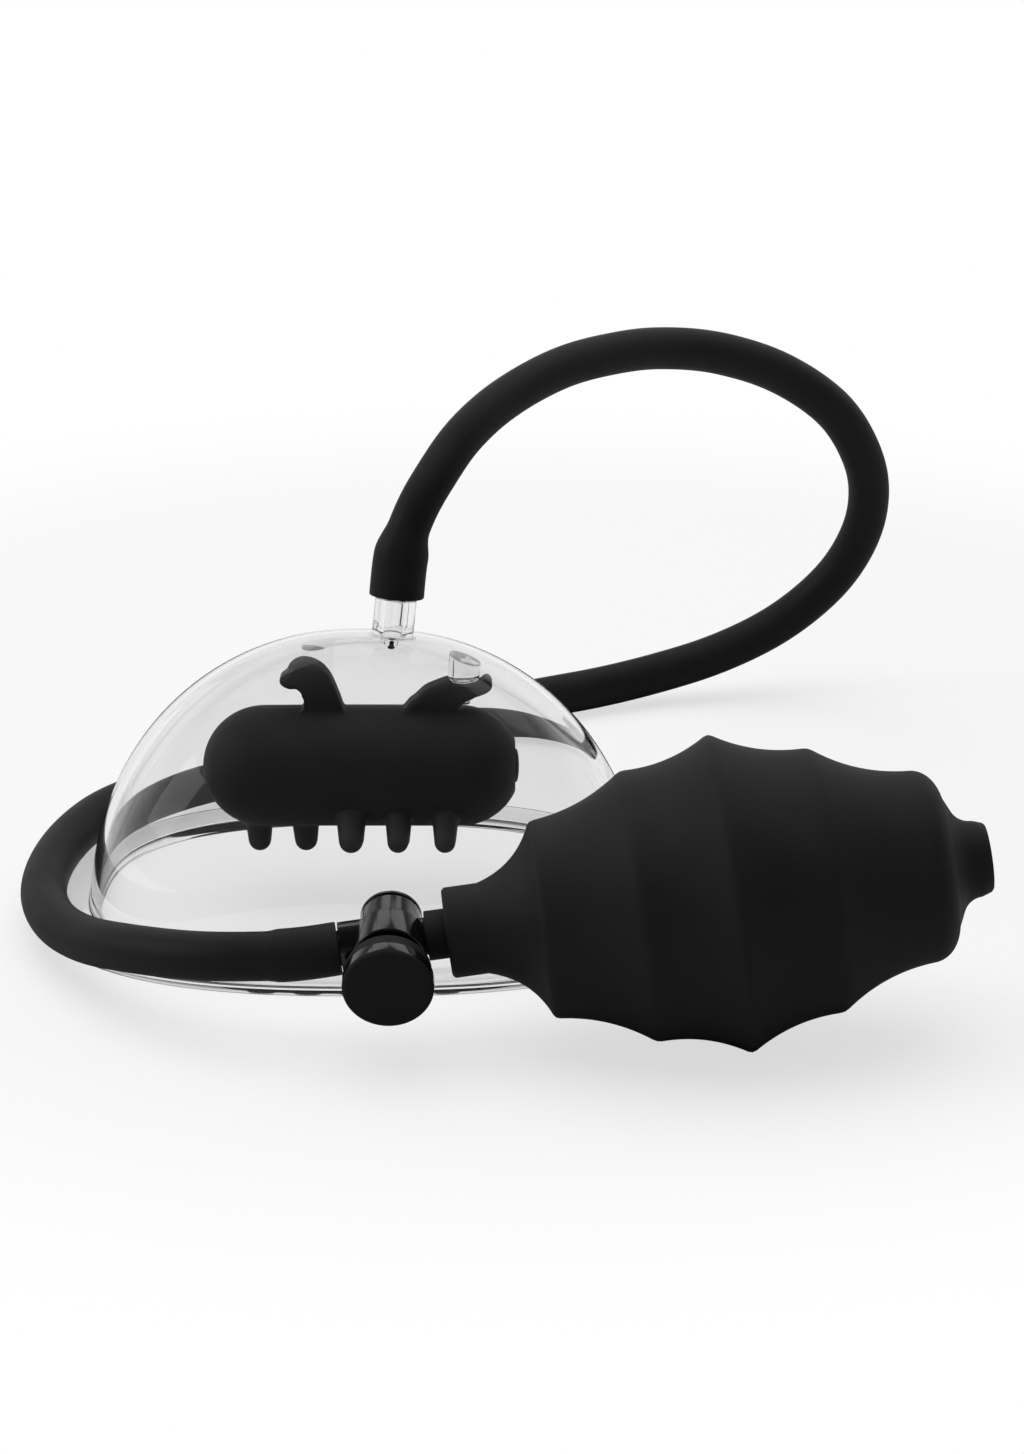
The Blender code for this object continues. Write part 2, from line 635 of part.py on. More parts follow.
def make_vibrator(pod):
    """The case and its cap, then what they hold, from the button inwards."""
    inner = CASE_RADIUS - CASE_WALL
    split = CASE_END - CAP_LENGTH
    nose = arc((CASE_NOSE + CASE_RADIUS, 0), (inner, inner), 180, 90, 5)
    nose[0] = (nose[0][0], 0.0)
    outside = [point for point in case_outline() if point[0] < split]
    case = outside + [(split, CASE_RADIUS), (split, inner)] + nose[::-1]
    added("vibrator_case", turned("vibrator_case", case, 32), "satin_plastic", pod)

    start = split + SEAT_GAP
    hole = BUTTON_RADIUS + SEAT_GAP
    end_wall = CASE_END - CAP_END_WALL
    press_at = end_wall - SEAT_GAP - BUTTON_FLANGE_THICKNESS
    switch_at = press_at - BUTTON_TRAVEL - SEAT_GAP - SWITCH_HEIGHT
    board_at = switch_at - SEAT_GAP - BOARD_THICKNESS
    board_radius = inner - SEAT_GAP - BOARD_LEDGE
    cap = [(start, CASE_RADIUS)] + [point for point in case_outline() if point[0] > start]
    cap += [(CASE_END, hole), (end_wall, hole), (end_wall, BUTTON_FLANGE_RADIUS + SEAT_GAP)]
    cap += [(switch_at, board_radius + SEAT_GAP), (board_at - SEAT_GAP, board_radius + SEAT_GAP)]
    cap += [(board_at - SEAT_GAP, inner), (start, inner)]
    added("vibrator_cap", turned("vibrator_cap", cap, 32), "satin_plastic", pod)

    press = empty("pod_button_axis", pod, (press_at, 0, 0))
    length = SLEEVE_HALF_LENGTH - BUTTON_RECESS - press_at
    outline = disc(0, BUTTON_FLANGE_THICKNESS, BUTTON_FLANGE_RADIUS)[:-1]
    outline += [(BUTTON_FLANGE_THICKNESS, BUTTON_RADIUS), (0.9 * length, BUTTON_RADIUS)]
    outline += [(length, 0.7 * BUTTON_RADIUS), (length, 0)]
    added("pod_button", turned("pod_button", outline, 24), "black_silicone", press)

    switch = disc(switch_at, switch_at + SWITCH_HEIGHT, SWITCH_RADIUS)
    added("tact_switch", turned("tact_switch", switch, 16), "steel", pod)
    board = disc(board_at, board_at + BOARD_THICKNESS, board_radius)
    added("switch_board", turned("switch_board", board, 24), "circuit_board", pod)

    cells_end = board_at - CONTACT_SPACE
    spring_start = cells_end + CONTACT_WIRE + SEAT_GAP
    turns = coil(spring_start, board_at - CONTACT_WIRE - SEAT_GAP, CONTACT_RADIUS, CONTACT_TURNS)
    added("contact_spring", rod("contact_spring", turns, CONTACT_WIRE, 1), "steel", pod)
    cells_at = cells_end - CELL_COUNT * (CELL_THICKNESS + CELL_GAP)
    for i in range(CELL_COUNT):
        make_cell(pod, f"button_cell_{i + 1}", cells_at + i * (CELL_THICKNESS + CELL_GAP))

    # The frame is a tube with a cross wall between motor and cells, holed for the motor's leads.
    frame_radius = inner - SEAT_GAP
    bore = frame_radius - FRAME_WALL
    wall_end = cells_at - SEAT_GAP
    wall_at = wall_end - FRAME_WALL
    motor_at = wall_at - SEAT_GAP - MOTOR_LENGTH
    frame = [(motor_at, bore), (motor_at, frame_radius), (cells_end, frame_radius), (cells_end, bore)]
    frame += [(wall_end, bore), (wall_end, LEAD_HOLE_RADIUS), (wall_at, LEAD_HOLE_RADIUS), (wall_at, bore)]
    added("inner_frame", turned("inner_frame", frame, 28), "satin_plastic", pod)
    make_motor(pod, motor_at, bore - SEAT_GAP)


def make_cell(pod, name, start):
    """A button cell: a can with a smaller raised pole at its first end."""
    pole = 0.12 * CELL_THICKNESS
    outline = [(start, 0), (start, 0.8 * CELL_RADIUS), (start + pole, 0.84 * CELL_RADIUS)]
    outline += [(start + pole, CELL_RADIUS), (start + 0.9 * CELL_THICKNESS, CELL_RADIUS)]
    outline += [(start + CELL_THICKNESS, 0.96 * CELL_RADIUS), (start + CELL_THICKNESS, 0)]
    added(name, turned(name, outline, 24), "steel", pod)


def make_motor(pod, start, radius):
    """The can with a boss round its shaft, and the shaft with its weight, which turn about the pod's axis."""
    boss = MOTOR_SHAFT_RADIUS + SEAT_GAP / 2
    end = start + MOTOR_LENGTH
    seat = start + MOTOR_SHAFT_SEAT
    outline = [(start - MOTOR_BOSS_HEIGHT, boss), (start - MOTOR_BOSS_HEIGHT, MOTOR_BOSS_RADIUS)]
    outline += [(start, MOTOR_BOSS_RADIUS), (start, radius), (end, radius), (end, 0), (seat, 0), (seat, boss)]
    added("motor_can", turned("motor_can", outline, 24), "steel", pod)
    rotor = empty("rotor_axis", pod)
    tip = start - MOTOR_SHAFT_LENGTH
    outline = disc(tip, seat - SEAT_GAP, MOTOR_SHAFT_RADIUS)
    added("motor_shaft", turned("motor_shaft", outline, 12), "steel", rotor)
    make_weight(rotor, tip + SEAT_GAP)


def make_weight(rotor, start):
    """Half a disc on the motor's shaft, heavy on one side, so that the motor shakes the pod."""
    ring = disc(start, start + WEIGHT_THICKNESS, WEIGHT_RADIUS, MOTOR_SHAFT_RADIUS + SEAT_GAP)
    piece = added("eccentric_weight", turned("eccentric_weight", ring, 24), "brass", rotor)
    bm = bmesh.new()
    size = 3 * WEIGHT_RADIUS
    bmesh.ops.create_cube(bm, size=size)
    low = -size / 2 - MOTOR_SHAFT_RADIUS - WEIGHT_FLAT
    bmesh.ops.translate(bm, verts=bm.verts, vec=(start, 0, low))
    half = helper(added("weight_cut", mesh_from("weight_cut", bm), "brass", rotor))
    return boolean(piece, half, "DIFFERENCE")


# --- Release valve ---


def make_valve(pump, barrel):
    """The body is one moulding: a barrel, a collar for the hose and a barbed plug for the bulb, all bored."""
    outline = chamfered(BARREL_REAR, BARREL_FRONT, BARREL_RADIUS, BARREL_CHAMFER)
    band_end = BAND_START + BAND_LENGTH
    band = [(BAND_START, BARREL_RADIUS), (BAND_START, BAND_RADIUS - BARREL_CHAMFER)]
    band += [(BAND_START + BARREL_CHAMFER, BAND_RADIUS), (band_end - BARREL_CHAMFER, BAND_RADIUS)]
    band += [(band_end, BAND_RADIUS - BARREL_CHAMFER), (band_end, BARREL_RADIUS)]
    outline[3:3] = band
    body = added("valve_body", turned("valve_body", outline, 32), "glossy_plastic", barrel)
    plug_end = VALVE_TO_NECK + BULB_PLUG_DEPTH
    outline = [(-TAIL_COLLAR_END, 0), (-TAIL_COLLAR_END, TAIL_COLLAR_RADIUS)]
    outline += [(-TAIL_COLLAR_START, TAIL_COLLAR_RADIUS), (-TAIL_COLLAR_START, BULB_STEM_RADIUS)]
    outline += [(BULB_PLUG_START, BULB_STEM_RADIUS), (BULB_PLUG_START, BULB_PLUG_RADIUS)]
    crest, end = BARB_LENGTHS
    for i in range(BARB_COUNT):
        start = VALVE_TO_NECK + BARB_FIRST + i * BARB_PITCH
        outline += [(start, BULB_PLUG_RADIUS), (start + crest, BULB_PLUG_RADIUS + BARB_HEIGHT)]
        outline += [(start + end, BULB_PLUG_RADIUS)]
    outline += [(plug_end, BULB_PLUG_RADIUS), (plug_end, 0)]
    branch = added("valve_branch", turned("valve_branch", outline, 28), "glossy_plastic", pump)
    boolean(body, helper(branch), "UNION")
    web_front = WEB_BACK + WEB_THICKNESS
    guide = STEM_RADIUS + STEM_CLEARANCE
    rear, front = BARREL_REAR - CUT_PAST, BARREL_FRONT + CUT_PAST
    outline = [(rear, 0), (rear, BARREL_BORE), (WEB_BACK, BARREL_BORE), (WEB_BACK, guide)]
    outline += [(web_front, guide), (web_front, BARREL_BORE), (front, BARREL_BORE), (front, 0)]
    bore = added("barrel_bore", turned("barrel_bore", outline, 28), "glossy_plastic", barrel)
    boolean(body, helper(bore), "DIFFERENCE")
    outline = disc(-TAIL_COLLAR_END - CUT_PAST, plug_end + CUT_PAST, VALVE_BORE)
    cross = added("cross_bore", turned("cross_bore", outline, 20), "glossy_plastic", pump)
    boolean(body, helper(cross), "DIFFERENCE")

    face = BARREL_REAR - SEAT_GAP
    back = face - END_PLUG_THICKNESS
    spigot = BARREL_BORE - SEAT_GAP
    outline = [(back, 0), (back, BARREL_RADIUS - BARREL_CHAMFER), (back + BARREL_CHAMFER, BARREL_RADIUS)]
    outline += [(face, BARREL_RADIUS), (face, spigot), (face + END_PLUG_SPIGOT, spigot)]
    outline += [(face + END_PLUG_SPIGOT, 0)]
    added("valve_end_plug", turned("valve_end_plug", outline, 32), "glossy_plastic", barrel)


def make_release(barrel):
    """The button with its stem, seal and spring. Pressed, the stem's poppet leaves the web and lets air in."""
    press = empty("release_axis", barrel)
    skirt = BARREL_RADIUS + PUSH_SIDE_GAP
    back = BARREL_FRONT - PUSH_OVERLAP
    ceiling = BARREL_FRONT + PRESS_TRAVEL + PRESS_SPARE
    front = ceiling + PUSH_TOP
    outline = [(back, skirt), (back, PUSH_RADIUS - PUSH_BACK_CHAMFER)]
    outline += [(back + PUSH_BACK_CHAMFER, PUSH_RADIUS)]
    outline += [(front - PUSH_CHAMFER, PUSH_RADIUS), (front, PUSH_FACE_RADIUS), (front, 0)]
    outline += [(ceiling, 0), (ceiling, skirt)]
    added("release_button", turned("release_button", outline, 36), "glossy_plastic", press)

    head = WEB_BACK - 2 * SEAL_WIRE - 2 * SEAT_GAP
    outline = [(head - POPPET_THICKNESS, 0), (head - POPPET_THICKNESS, POPPET_RADIUS), (head, POPPET_RADIUS)]
    outline += [(head, STEM_RADIUS), (ceiling - SEAT_GAP, STEM_RADIUS), (ceiling - SEAT_GAP, 0)]
    added("release_stem", turned("release_stem", outline, 20), "satin_plastic", press)

    middle = STEM_RADIUS + SEAT_GAP + SEAL_WIRE
    ring = arc((WEB_BACK - SEAL_WIRE - SEAT_GAP, middle), (SEAL_WIRE, SEAL_WIRE), 0, 315, 7)
    added("stem_seal", turned("stem_seal", ring, 20), "valve_silicone", press)

    start = WEB_BACK + WEB_THICKNESS + SPRING_WIRE + SEAT_GAP
    end = ceiling - SPRING_WIRE - SEAT_GAP
    turns = coil(start, end, BARREL_BORE - SPRING_WIRE - 2 * SEAT_GAP, SPRING_TURNS)
    added("release_spring", rod("release_spring", turns, SPRING_WIRE, 1), "steel", barrel)


# --- Bulb and its one-way valves ---


def bulb_skin():
    """Outside of the bulb from its neck to its tail: sharp ribs with a hollow between each two."""
    neck_end = (BULB_NECK_LENGTH, BULB_NECK_RADIUS)
    points = [(0.0, BULB_NECK_RADIUS), neck_end]
    points += dip(neck_end, BULB_RIBS[0], BULB_NECK_HOLLOW, 3)
    for here, following in zip(BULB_RIBS, BULB_RIBS[1:]):
        points += [here] + dip(here, following, BULB_HOLLOW, 4)
    shoulder_at, shoulder_radius = BULB_RIBS[-1]
    tail_foot = BULB_LENGTH - BULB_TAIL_LENGTH
    # The shoulder bulges over a bit more than half of the drop to the tail, and a fillet takes the rest.
    drop = shoulder_radius - BULB_TAIL_RADIUS
    bulge = (0.66 * (tail_foot - shoulder_at), 0.55 * drop)
    points += arc((shoulder_at, shoulder_radius - bulge[1]), bulge, 90, 10, 4)
    fillet = (BULB_TAIL_FILLET, 0.36 * drop)
    centre = (tail_foot + 0.6 * BULB_TAIL_FILLET, BULB_TAIL_RADIUS + 0.15 * BULB_TAIL_FILLET + fillet[1])
    points += arc(centre, fillet, 205, 270, 3)
    points += [(BULB_LENGTH, BULB_TAIL_RADIUS)]
    return points


def make_bulb(pump):
    """A thick rubber skin, open at the neck and at the tail."""
    neck_bore = BULB_PLUG_RADIUS + BARB_HEIGHT + SEAT_GAP
    tail_bore = EXHAUST_HOUSING_RADIUS + SEAT_GAP
    tail_bore_start = BULB_LENGTH - EXHAUST_HOUSING_DEPTH + SEAT_GAP
    inside = [(0.0, neck_bore), (BULB_NECK_LENGTH + CUT_PAST, neck_bore)]
    inside += [(at, radius - BULB_WALL - BULB_HOLLOW / 3) for at, radius in BULB_RIBS]
    inside += [(tail_bore_start, tail_bore), (BULB_LENGTH, tail_bore)]
    skin = turned("squeeze_bulb", bulb_skin() + inside[::-1], BULB_SIDES)
    added("squeeze_bulb", skin, "black_rubber", pump, (VALVE_TO_NECK, 0, 0))


def make_intake(pump):
    """In the neck: air comes in from the hose past the disc, and not back."""
    seat = VALVE_TO_NECK + BULB_PLUG_DEPTH
    lift = empty("intake_axis", pump, (seat + SEAT_GAP, 0, 0))
    disc_outline = disc(0, DISC_THICKNESS, INTAKE_DISC_RADIUS)
    added("intake_disc", turned("intake_disc", disc_outline, 24), "valve_silicone", lift)
    start = seat + SEAT_GAP
    roof = start + DISC_THICKNESS + DISC_LIFT + SEAT_GAP
    pocket = INTAKE_DISC_RADIUS + SEAT_GAP
    outer = pocket + INTAKE_CAGE_WALL
    top = roof + INTAKE_CAGE_ROOF
    outline = [(start, pocket), (start, outer), (top, outer), (top, INTAKE_CAGE_HOLE_RADIUS)]
    outline += [(roof, INTAKE_CAGE_HOLE_RADIUS), (roof, pocket)]
    added("intake_cage", turned("intake_cage", outline, 24), "satin_plastic", pump)


def make_exhaust(pump):
    """In the tail: a squeeze drives air out past the disc, and none comes back."""
    end = VALVE_TO_NECK + BULB_LENGTH
    inner_end = end - EXHAUST_HOUSING_DEPTH
    seat = end - EXHAUST_SEAT_DEPTH
    pocket = EXHAUST_DISC_RADIUS + SEAT_GAP
    outline = [(inner_end, EXHAUST_SEAT_HOLE_RADIUS), (inner_end, EXHAUST_HOUSING_RADIUS)]
    outline += [(end, EXHAUST_HOUSING_RADIUS), (end, pocket), (seat, pocket)]
    outline += [(seat, EXHAUST_SEAT_HOLE_RADIUS)]
    added("exhaust_housing", turned("exhaust_housing", outline, 24), "satin_plastic", pump)
    lift = empty("exhaust_axis", pump, (seat + SEAT_GAP, 0, 0))
    disc_outline = disc(0, DISC_THICKNESS, EXHAUST_DISC_RADIUS)
    added("exhaust_disc", turned("exhaust_disc", disc_outline, 20), "valve_silicone", lift)
    start = seat + 2 * SEAT_GAP + DISC_THICKNESS + DISC_LIFT
    outline = disc(start, end - SEAT_GAP, pocket - SEAT_GAP, EXHAUST_RETAINER_HOLE_RADIUS)
    added("exhaust_retainer", turned("exhaust_retainer", outline, 20), "satin_plastic", pump)


# --- Hose ---


def make_hose(nipple, pump):
    """From the nipple's end to the valve's collar, leaving and arriving along their axes."""
    bpy.context.view_layer.update()
    diameter = 2 * HOSE_RADIUS

    def on(frame, along):
        return tuple(frame.matrix_world @ Vector((along, 0, 0)))

    first = NIPPLE_LENGTH + SEAT_GAP
    last = -TAIL_COLLAR_END - SEAT_GAP
    # The tube runs straight for one diameter at each end, so that it meets what it sits on squarely.
    route = [on(nipple, first + diameter), *HOSE_ROUTE, on(pump, last - diameter)]
    middle, length = smooth_path(route, HOSE_POINTS_EVERY * diameter)
    points = [on(nipple, first), *middle, on(pump, last)]
    length += 2 * diameter
    print(f"hose: {length * 1000:.1f} mm, {len(points)} points")
    added("hose", rod("hose", points, HOSE_RADIUS, 3), "black_silicone", None)


# --- Assembly ---


def bulb_rest_height():
    """Height of the neck's end when the widest part of the tilted bulb touches the table."""
    return max(radius * math.cos(BULB_TILT) - along * math.sin(BULB_TILT) for along, radius in bulb_skin())


def main():
    clear_scene()
    cup = empty("cup_frame", None, (*CUP_CENTRE, 0))
    nipple = nipple_frame(cup)
    make_cup(cup, nipple)
    make_nipple(cup, nipple)
    make_pegs(cup)

    pod = empty("pod_frame", cup, (*POD_OFFSET, POD_HEIGHT))
    make_sleeve(pod)
    make_vibrator(pod)

    along = Matrix.Rotation(BULB_YAW, 4, "Z") @ Matrix.Rotation(-BULB_TILT, 4, "Y")
    neck = Vector((*BULB_NECK_AT, bulb_rest_height()))
    pump = empty("pump_frame", None, neck - along.to_3x3() @ Vector((VALVE_TO_NECK, 0, 0)), along)
    across = Matrix.Rotation(VALVE_ROLL, 4, "X") @ Matrix.Rotation(math.radians(-90) - VALVE_LEAN, 4, "Z")
    barrel = empty("barrel_frame", pump, (0, 0, 0), across)
    make_valve(pump, barrel)
    make_release(barrel)
    make_bulb(pump)
    make_intake(pump)
    make_exhaust(pump)
    make_hose(nipple, pump)


main()
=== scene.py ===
# %% [markdown]
# # A hand bulb pump with a clear suction cup
#
# The object has five kinds of surface: a polished clear acrylic cup, satin black silicone (hose and massage
# pod), matt black rubber (squeeze bulb), glossy black ABS (release valve) and a few small metal and plastic
# pieces inside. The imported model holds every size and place; this file draws the surfaces that are seen.

# %% Load the fixed frame
import json
import math

import bmesh
import bpy
import numpy as np
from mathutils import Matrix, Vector


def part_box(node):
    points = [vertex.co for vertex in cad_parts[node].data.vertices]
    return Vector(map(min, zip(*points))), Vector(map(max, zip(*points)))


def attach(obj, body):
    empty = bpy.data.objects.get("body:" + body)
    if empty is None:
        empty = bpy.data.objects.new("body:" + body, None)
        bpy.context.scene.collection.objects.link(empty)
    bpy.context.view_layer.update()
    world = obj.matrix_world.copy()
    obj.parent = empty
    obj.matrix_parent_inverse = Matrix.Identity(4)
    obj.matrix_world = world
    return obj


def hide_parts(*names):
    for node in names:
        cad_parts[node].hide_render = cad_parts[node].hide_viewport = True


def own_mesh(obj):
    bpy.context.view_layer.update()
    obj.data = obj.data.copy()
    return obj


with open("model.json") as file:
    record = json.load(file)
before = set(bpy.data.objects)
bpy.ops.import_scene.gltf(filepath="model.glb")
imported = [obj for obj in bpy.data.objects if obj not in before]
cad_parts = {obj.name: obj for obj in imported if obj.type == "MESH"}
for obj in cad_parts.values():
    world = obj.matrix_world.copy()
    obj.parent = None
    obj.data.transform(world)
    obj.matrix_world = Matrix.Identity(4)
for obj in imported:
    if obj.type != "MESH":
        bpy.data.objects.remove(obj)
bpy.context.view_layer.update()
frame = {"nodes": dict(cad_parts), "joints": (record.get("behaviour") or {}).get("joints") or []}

MM = 0.001
SEAT_GAP = 0.3 * MM

# %% [markdown]
# ## Where things are
#
# Turned pieces are described by an axis: where it starts, and which way it points. Each axis is read from
# the frame. A piece that was turned on a lathe has its points spread evenly round its axis, so their mean
# lies on it.

# %% Read the axes from the frame
JOINTS = {joint["name"]: joint for joint in frame["joints"]}


def unit(vector):
    """The same direction, one long."""
    vector = np.asarray(vector, float)
    return vector / np.linalg.norm(vector)


def node_points(node):
    """All the different corners of a node, one row each."""
    mesh = frame["nodes"][node].data
    flat = np.empty(3 * len(mesh.vertices))
    mesh.vertices.foreach_get("co", flat)
    return np.unique(np.round(flat.reshape(-1, 3), 6), axis=0)


def axis_start(node, direction):
    """The point on a turned node's axis that lies level with its first end."""
    points = node_points(node)
    middle = points.mean(axis=0)
    return middle + direction * ((points - middle) @ direction).min()


def place(origin, along, up=(0, 0, 1)):
    """An origin and three unit axes: x along the piece, y to its side, z as near to up as it can be."""
    x = unit(along)
    y = unit(np.cross(up, x))
    return np.asarray(origin, float), np.stack([x, y, np.cross(x, y)])


PUMP_ALONG = unit(JOINTS["intake_lift"]["axis"])
BARREL_ALONG = -unit(JOINTS["release_press"]["axis"])
VALVE_TO_NECK = 10.3 * MM
NECK_END = axis_start("squeeze_bulb", PUMP_ALONG)
CROSSING = NECK_END - VALVE_TO_NECK * PUMP_ALONG
PUMP = place(CROSSING, PUMP_ALONG)
BARREL = place(CROSSING, BARREL_ALONG)
print("the valve's axes cross at", np.round(CROSSING / MM, 2), "mm")

# %% [markdown]
# ## The camera
#
# The photograph looks down on the object by 20 degrees from its long side, from about 0.75 m. A lens of 97
# mm on a 36 mm sensor gives the same narrow view, without much perspective.

# %% Camera
CAMERA_PLACE = (0.0032, -0.6950, 0.2976)
CAMERA_TILT = 70  # degrees from straight down
CAMERA_LENS = 96.96  # mm, on a sensor 36 mm wide

camera_data = bpy.data.cameras.new("camera")
camera_data.lens = CAMERA_LENS
camera_data.sensor_width = 36.0
camera_data.clip_start = 0.05
camera = bpy.data.objects.new("camera", camera_data)
camera.location = CAMERA_PLACE
camera.rotation_euler = (math.radians(CAMERA_TILT), 0, 0)
bpy.context.scene.collection.objects.link(camera)
bpy.context.scene.camera = camera
bpy.context.scene.view_settings.view_transform = "Standard"
print(f"the camera looks down by {90 - CAMERA_TILT} degrees through a {CAMERA_LENS} mm lens")

# %% [markdown]
# ## Helpers for finishes
#
# A finish is a small tree of shader nodes. Colours are written as they look on a screen (sRGB hex), and the
# shader wants linear light, so one function turns them. One more adds a node and feeds its inputs: another
# node's output is linked, and a plain value is set. Blotches and a fine grain are what all finishes share.

# %% Helpers for finishes


def linear(code):
    """A hex colour as linear RGBA: each channel is undone from the sRGB curve."""
    channels = [int(code[i : i + 2], 16) / 255 for i in (1, 3, 5)]
    return (*[c / 12.92 if c <= 0.04045 else ((c + 0.055) / 1.055) ** 2.4 for c in channels], 1.0)


def feed(tree, node, inputs):
    """Fills a node's inputs: a socket is linked, and anything else is set as the input's value."""
    for key, value in inputs.items():
        if isinstance(value, bpy.types.NodeSocket):
            tree.links.new(value, node.inputs[key])
        else:
            node.inputs[key].default_value = value


def add(tree, kind, inputs=None, **settings):
    """Adds a node with its settings, and feeds its inputs."""
    made = tree.nodes.new(kind)
    for key, value in settings.items():
        setattr(made, key, value)
    feed(tree, made, inputs or {})
    return made


def per_mm(size):
    """Scale of a pattern whose features are this many millimetres across, on coordinates in metres."""
    return 1 / (size * MM)


def new_finish(name):
    """An empty material with its Principled shader, output and Object coordinates."""
    made = bpy.data.materials.new(name)
    made.use_nodes = True
    tree = made.node_tree
    tree.nodes.clear()
    where = add(tree, "ShaderNodeTexCoord").outputs["Object"]
    shader = add(tree, "ShaderNodeBsdfPrincipled")
    add(tree, "ShaderNodeOutputMaterial", {"Surface": shader.outputs["BSDF"]})
    return made, tree, where, shader


def drift(tree, where, size, detail, low, high, noise_range=(0.3, 0.7), rough=0.5):
    """A value that drifts between low and high, in blotches this many millimetres across. The noise's middle
    range is stretched over it."""
    inputs = {"Vector": where, "Scale": per_mm(size), "Detail": detail, "Roughness": rough}
    cloud = add(tree, "ShaderNodeTexNoise", inputs).outputs["Fac"]
    start, end = noise_range
    inputs = {"Value": cloud, "From Min": start, "From Max": end, "To Min": low, "To Max": high}
    return add(tree, "ShaderNodeMapRange", inputs).outputs["Result"]


def relief(tree, where, size, detail, depth):
    """A surface direction that rises and falls by this depth, in grains this many millimetres across."""
    grain = add(tree, "ShaderNodeTexNoise", {"Vector": where, "Scale": per_mm(size), "Detail": detail})
    inputs = {"Height": grain.outputs["Fac"], "Distance": depth * MM, "Strength": 1.0}
    return add(tree, "ShaderNodeBump", inputs).outputs["Normal"]


def mottled(name, dark, light, patch, grain, depth, roughness, specular=0.5):
    """A moulded polymer: two close colours in patches, a fine grain in relief, and a roughness that varies
    with the patches. Sizes are in millimetres."""
    made, tree, where, shader = new_finish(name)
    share = drift(tree, where, patch, 4.0, 0.0, 1.0)
    colours = {"Factor": share, "A": linear(dark), "B": linear(light)}
    inputs = {"Base Color": add(tree, "ShaderNodeMix", colours, data_type="RGBA").outputs["Result"]}
    inputs["Roughness"] = drift(tree, where, patch, 4.0, *roughness)
    inputs["Normal"] = relief(tree, where, grain, 2.0, depth)
    inputs["Specular IOR Level"] = specular
    feed(tree, shader, inputs)
    return made


# %% [markdown]
# ## Finishes
#
# - Silicone: black pigment in a clear rubber, moulded in a lightly blasted tool. The hose looks satin. The
#   pod is more matt. Its nubs carry painted light: they are a little lighter, for the light that they catch
#   from the front and from the table.
# - Rubber: thicker and drier than silicone, so the bulb's gloss is wide and weak.
# - ABS: the valve was moulded in a polished tool. It mirrors lamps sharply, with a faint ripple. The
#   button's face, its grip and the plug came from a blasted tool, which leaves them matt. Inner pieces are
#   satin.
# - Acrylic: clear, with polished faces. Real acrylic lets light through to the table, which a path tracer
#   only finds with much noise, so lamps pass straight through it here. The dome's outer skin has a coating
#   that takes away much of what it would mirror.

# %% Finishes
silicone = mottled("satin_black_silicone", "#1b1b1b", "#202020", 9.0, 0.9, 0.012, (0.48, 0.58), 0.13)
pod_silicone = mottled("matt_black_silicone", "#212121", "#262626", 12.0, 0.9, 0.010, (0.55, 0.65), 0.2)
# painted light: the nubs are drawn a lighter grey than the pod, for the light that they catch from the front
# and from the table
nub_silicone_painted_light = mottled("handled_black_silicone", "#2a2a2a", "#2f2f2f", 12.0, 0.9, 0.010, (0.5, 0.6), 0.25)
rubber = mottled("matt_black_rubber", "#1d1d1d", "#222222", 14.0, 0.8, 0.014, (0.58, 0.68), 0.17)
disc_abs = mottled("textured_black_abs", "#1e1e1e", "#212121", 6.0, 0.5, 0.010, (0.55, 0.62), 0.1)
satin_abs = mottled("satin_black_abs", "#171717", "#1b1b1b", 8.0, 0.6, 0.008, (0.34, 0.44), 0.3)
flap_silicone = mottled("dark_silicone_sheet", "#3c3c3c", "#464646", 3.0, 0.20, 0.006, (0.45, 0.55))
board = mottled("green_solder_mask", "#123d1e", "#18512a", 2.0, 0.40, 0.004, (0.30, 0.42))

ABS_IOR = 1.54
ACRYLIC_IOR = 1.49


def polished_abs():
    """Black ABS from a polished tool: nearly a mirror, with a ripple some millimetres wide."""
    made, tree, where, shader = new_finish("polished_black_abs")
    inputs = {"Base Color": linear("#0c0c0c"), "IOR": ABS_IOR}
    inputs["Roughness"] = drift(tree, where, 5.0, 5.0, 0.08, 0.16)
    inputs["Normal"] = relief(tree, where, 6.0, 1.0, 0.05)
    feed(tree, shader, inputs)
    return made


def metal(name, colour, roughness, scratch):
    """A bare metal: its own colour with fine lines along one way, from drawing or turning."""
    made, tree, where, shader = new_finish(name)
    along = add(tree, "ShaderNodeMapping", {"Vector": where, "Scale": (0.04, 1.0, 1.0)}).outputs["Vector"]
    inputs = {"Base Color": linear(colour), "Metallic": 1.0}
    inputs["Roughness"] = drift(tree, along, scratch, 2.0, *roughness)
    inputs["Normal"] = relief(tree, along, scratch, 2.0, 0.004)
    feed(tree, shader, inputs)
    return made


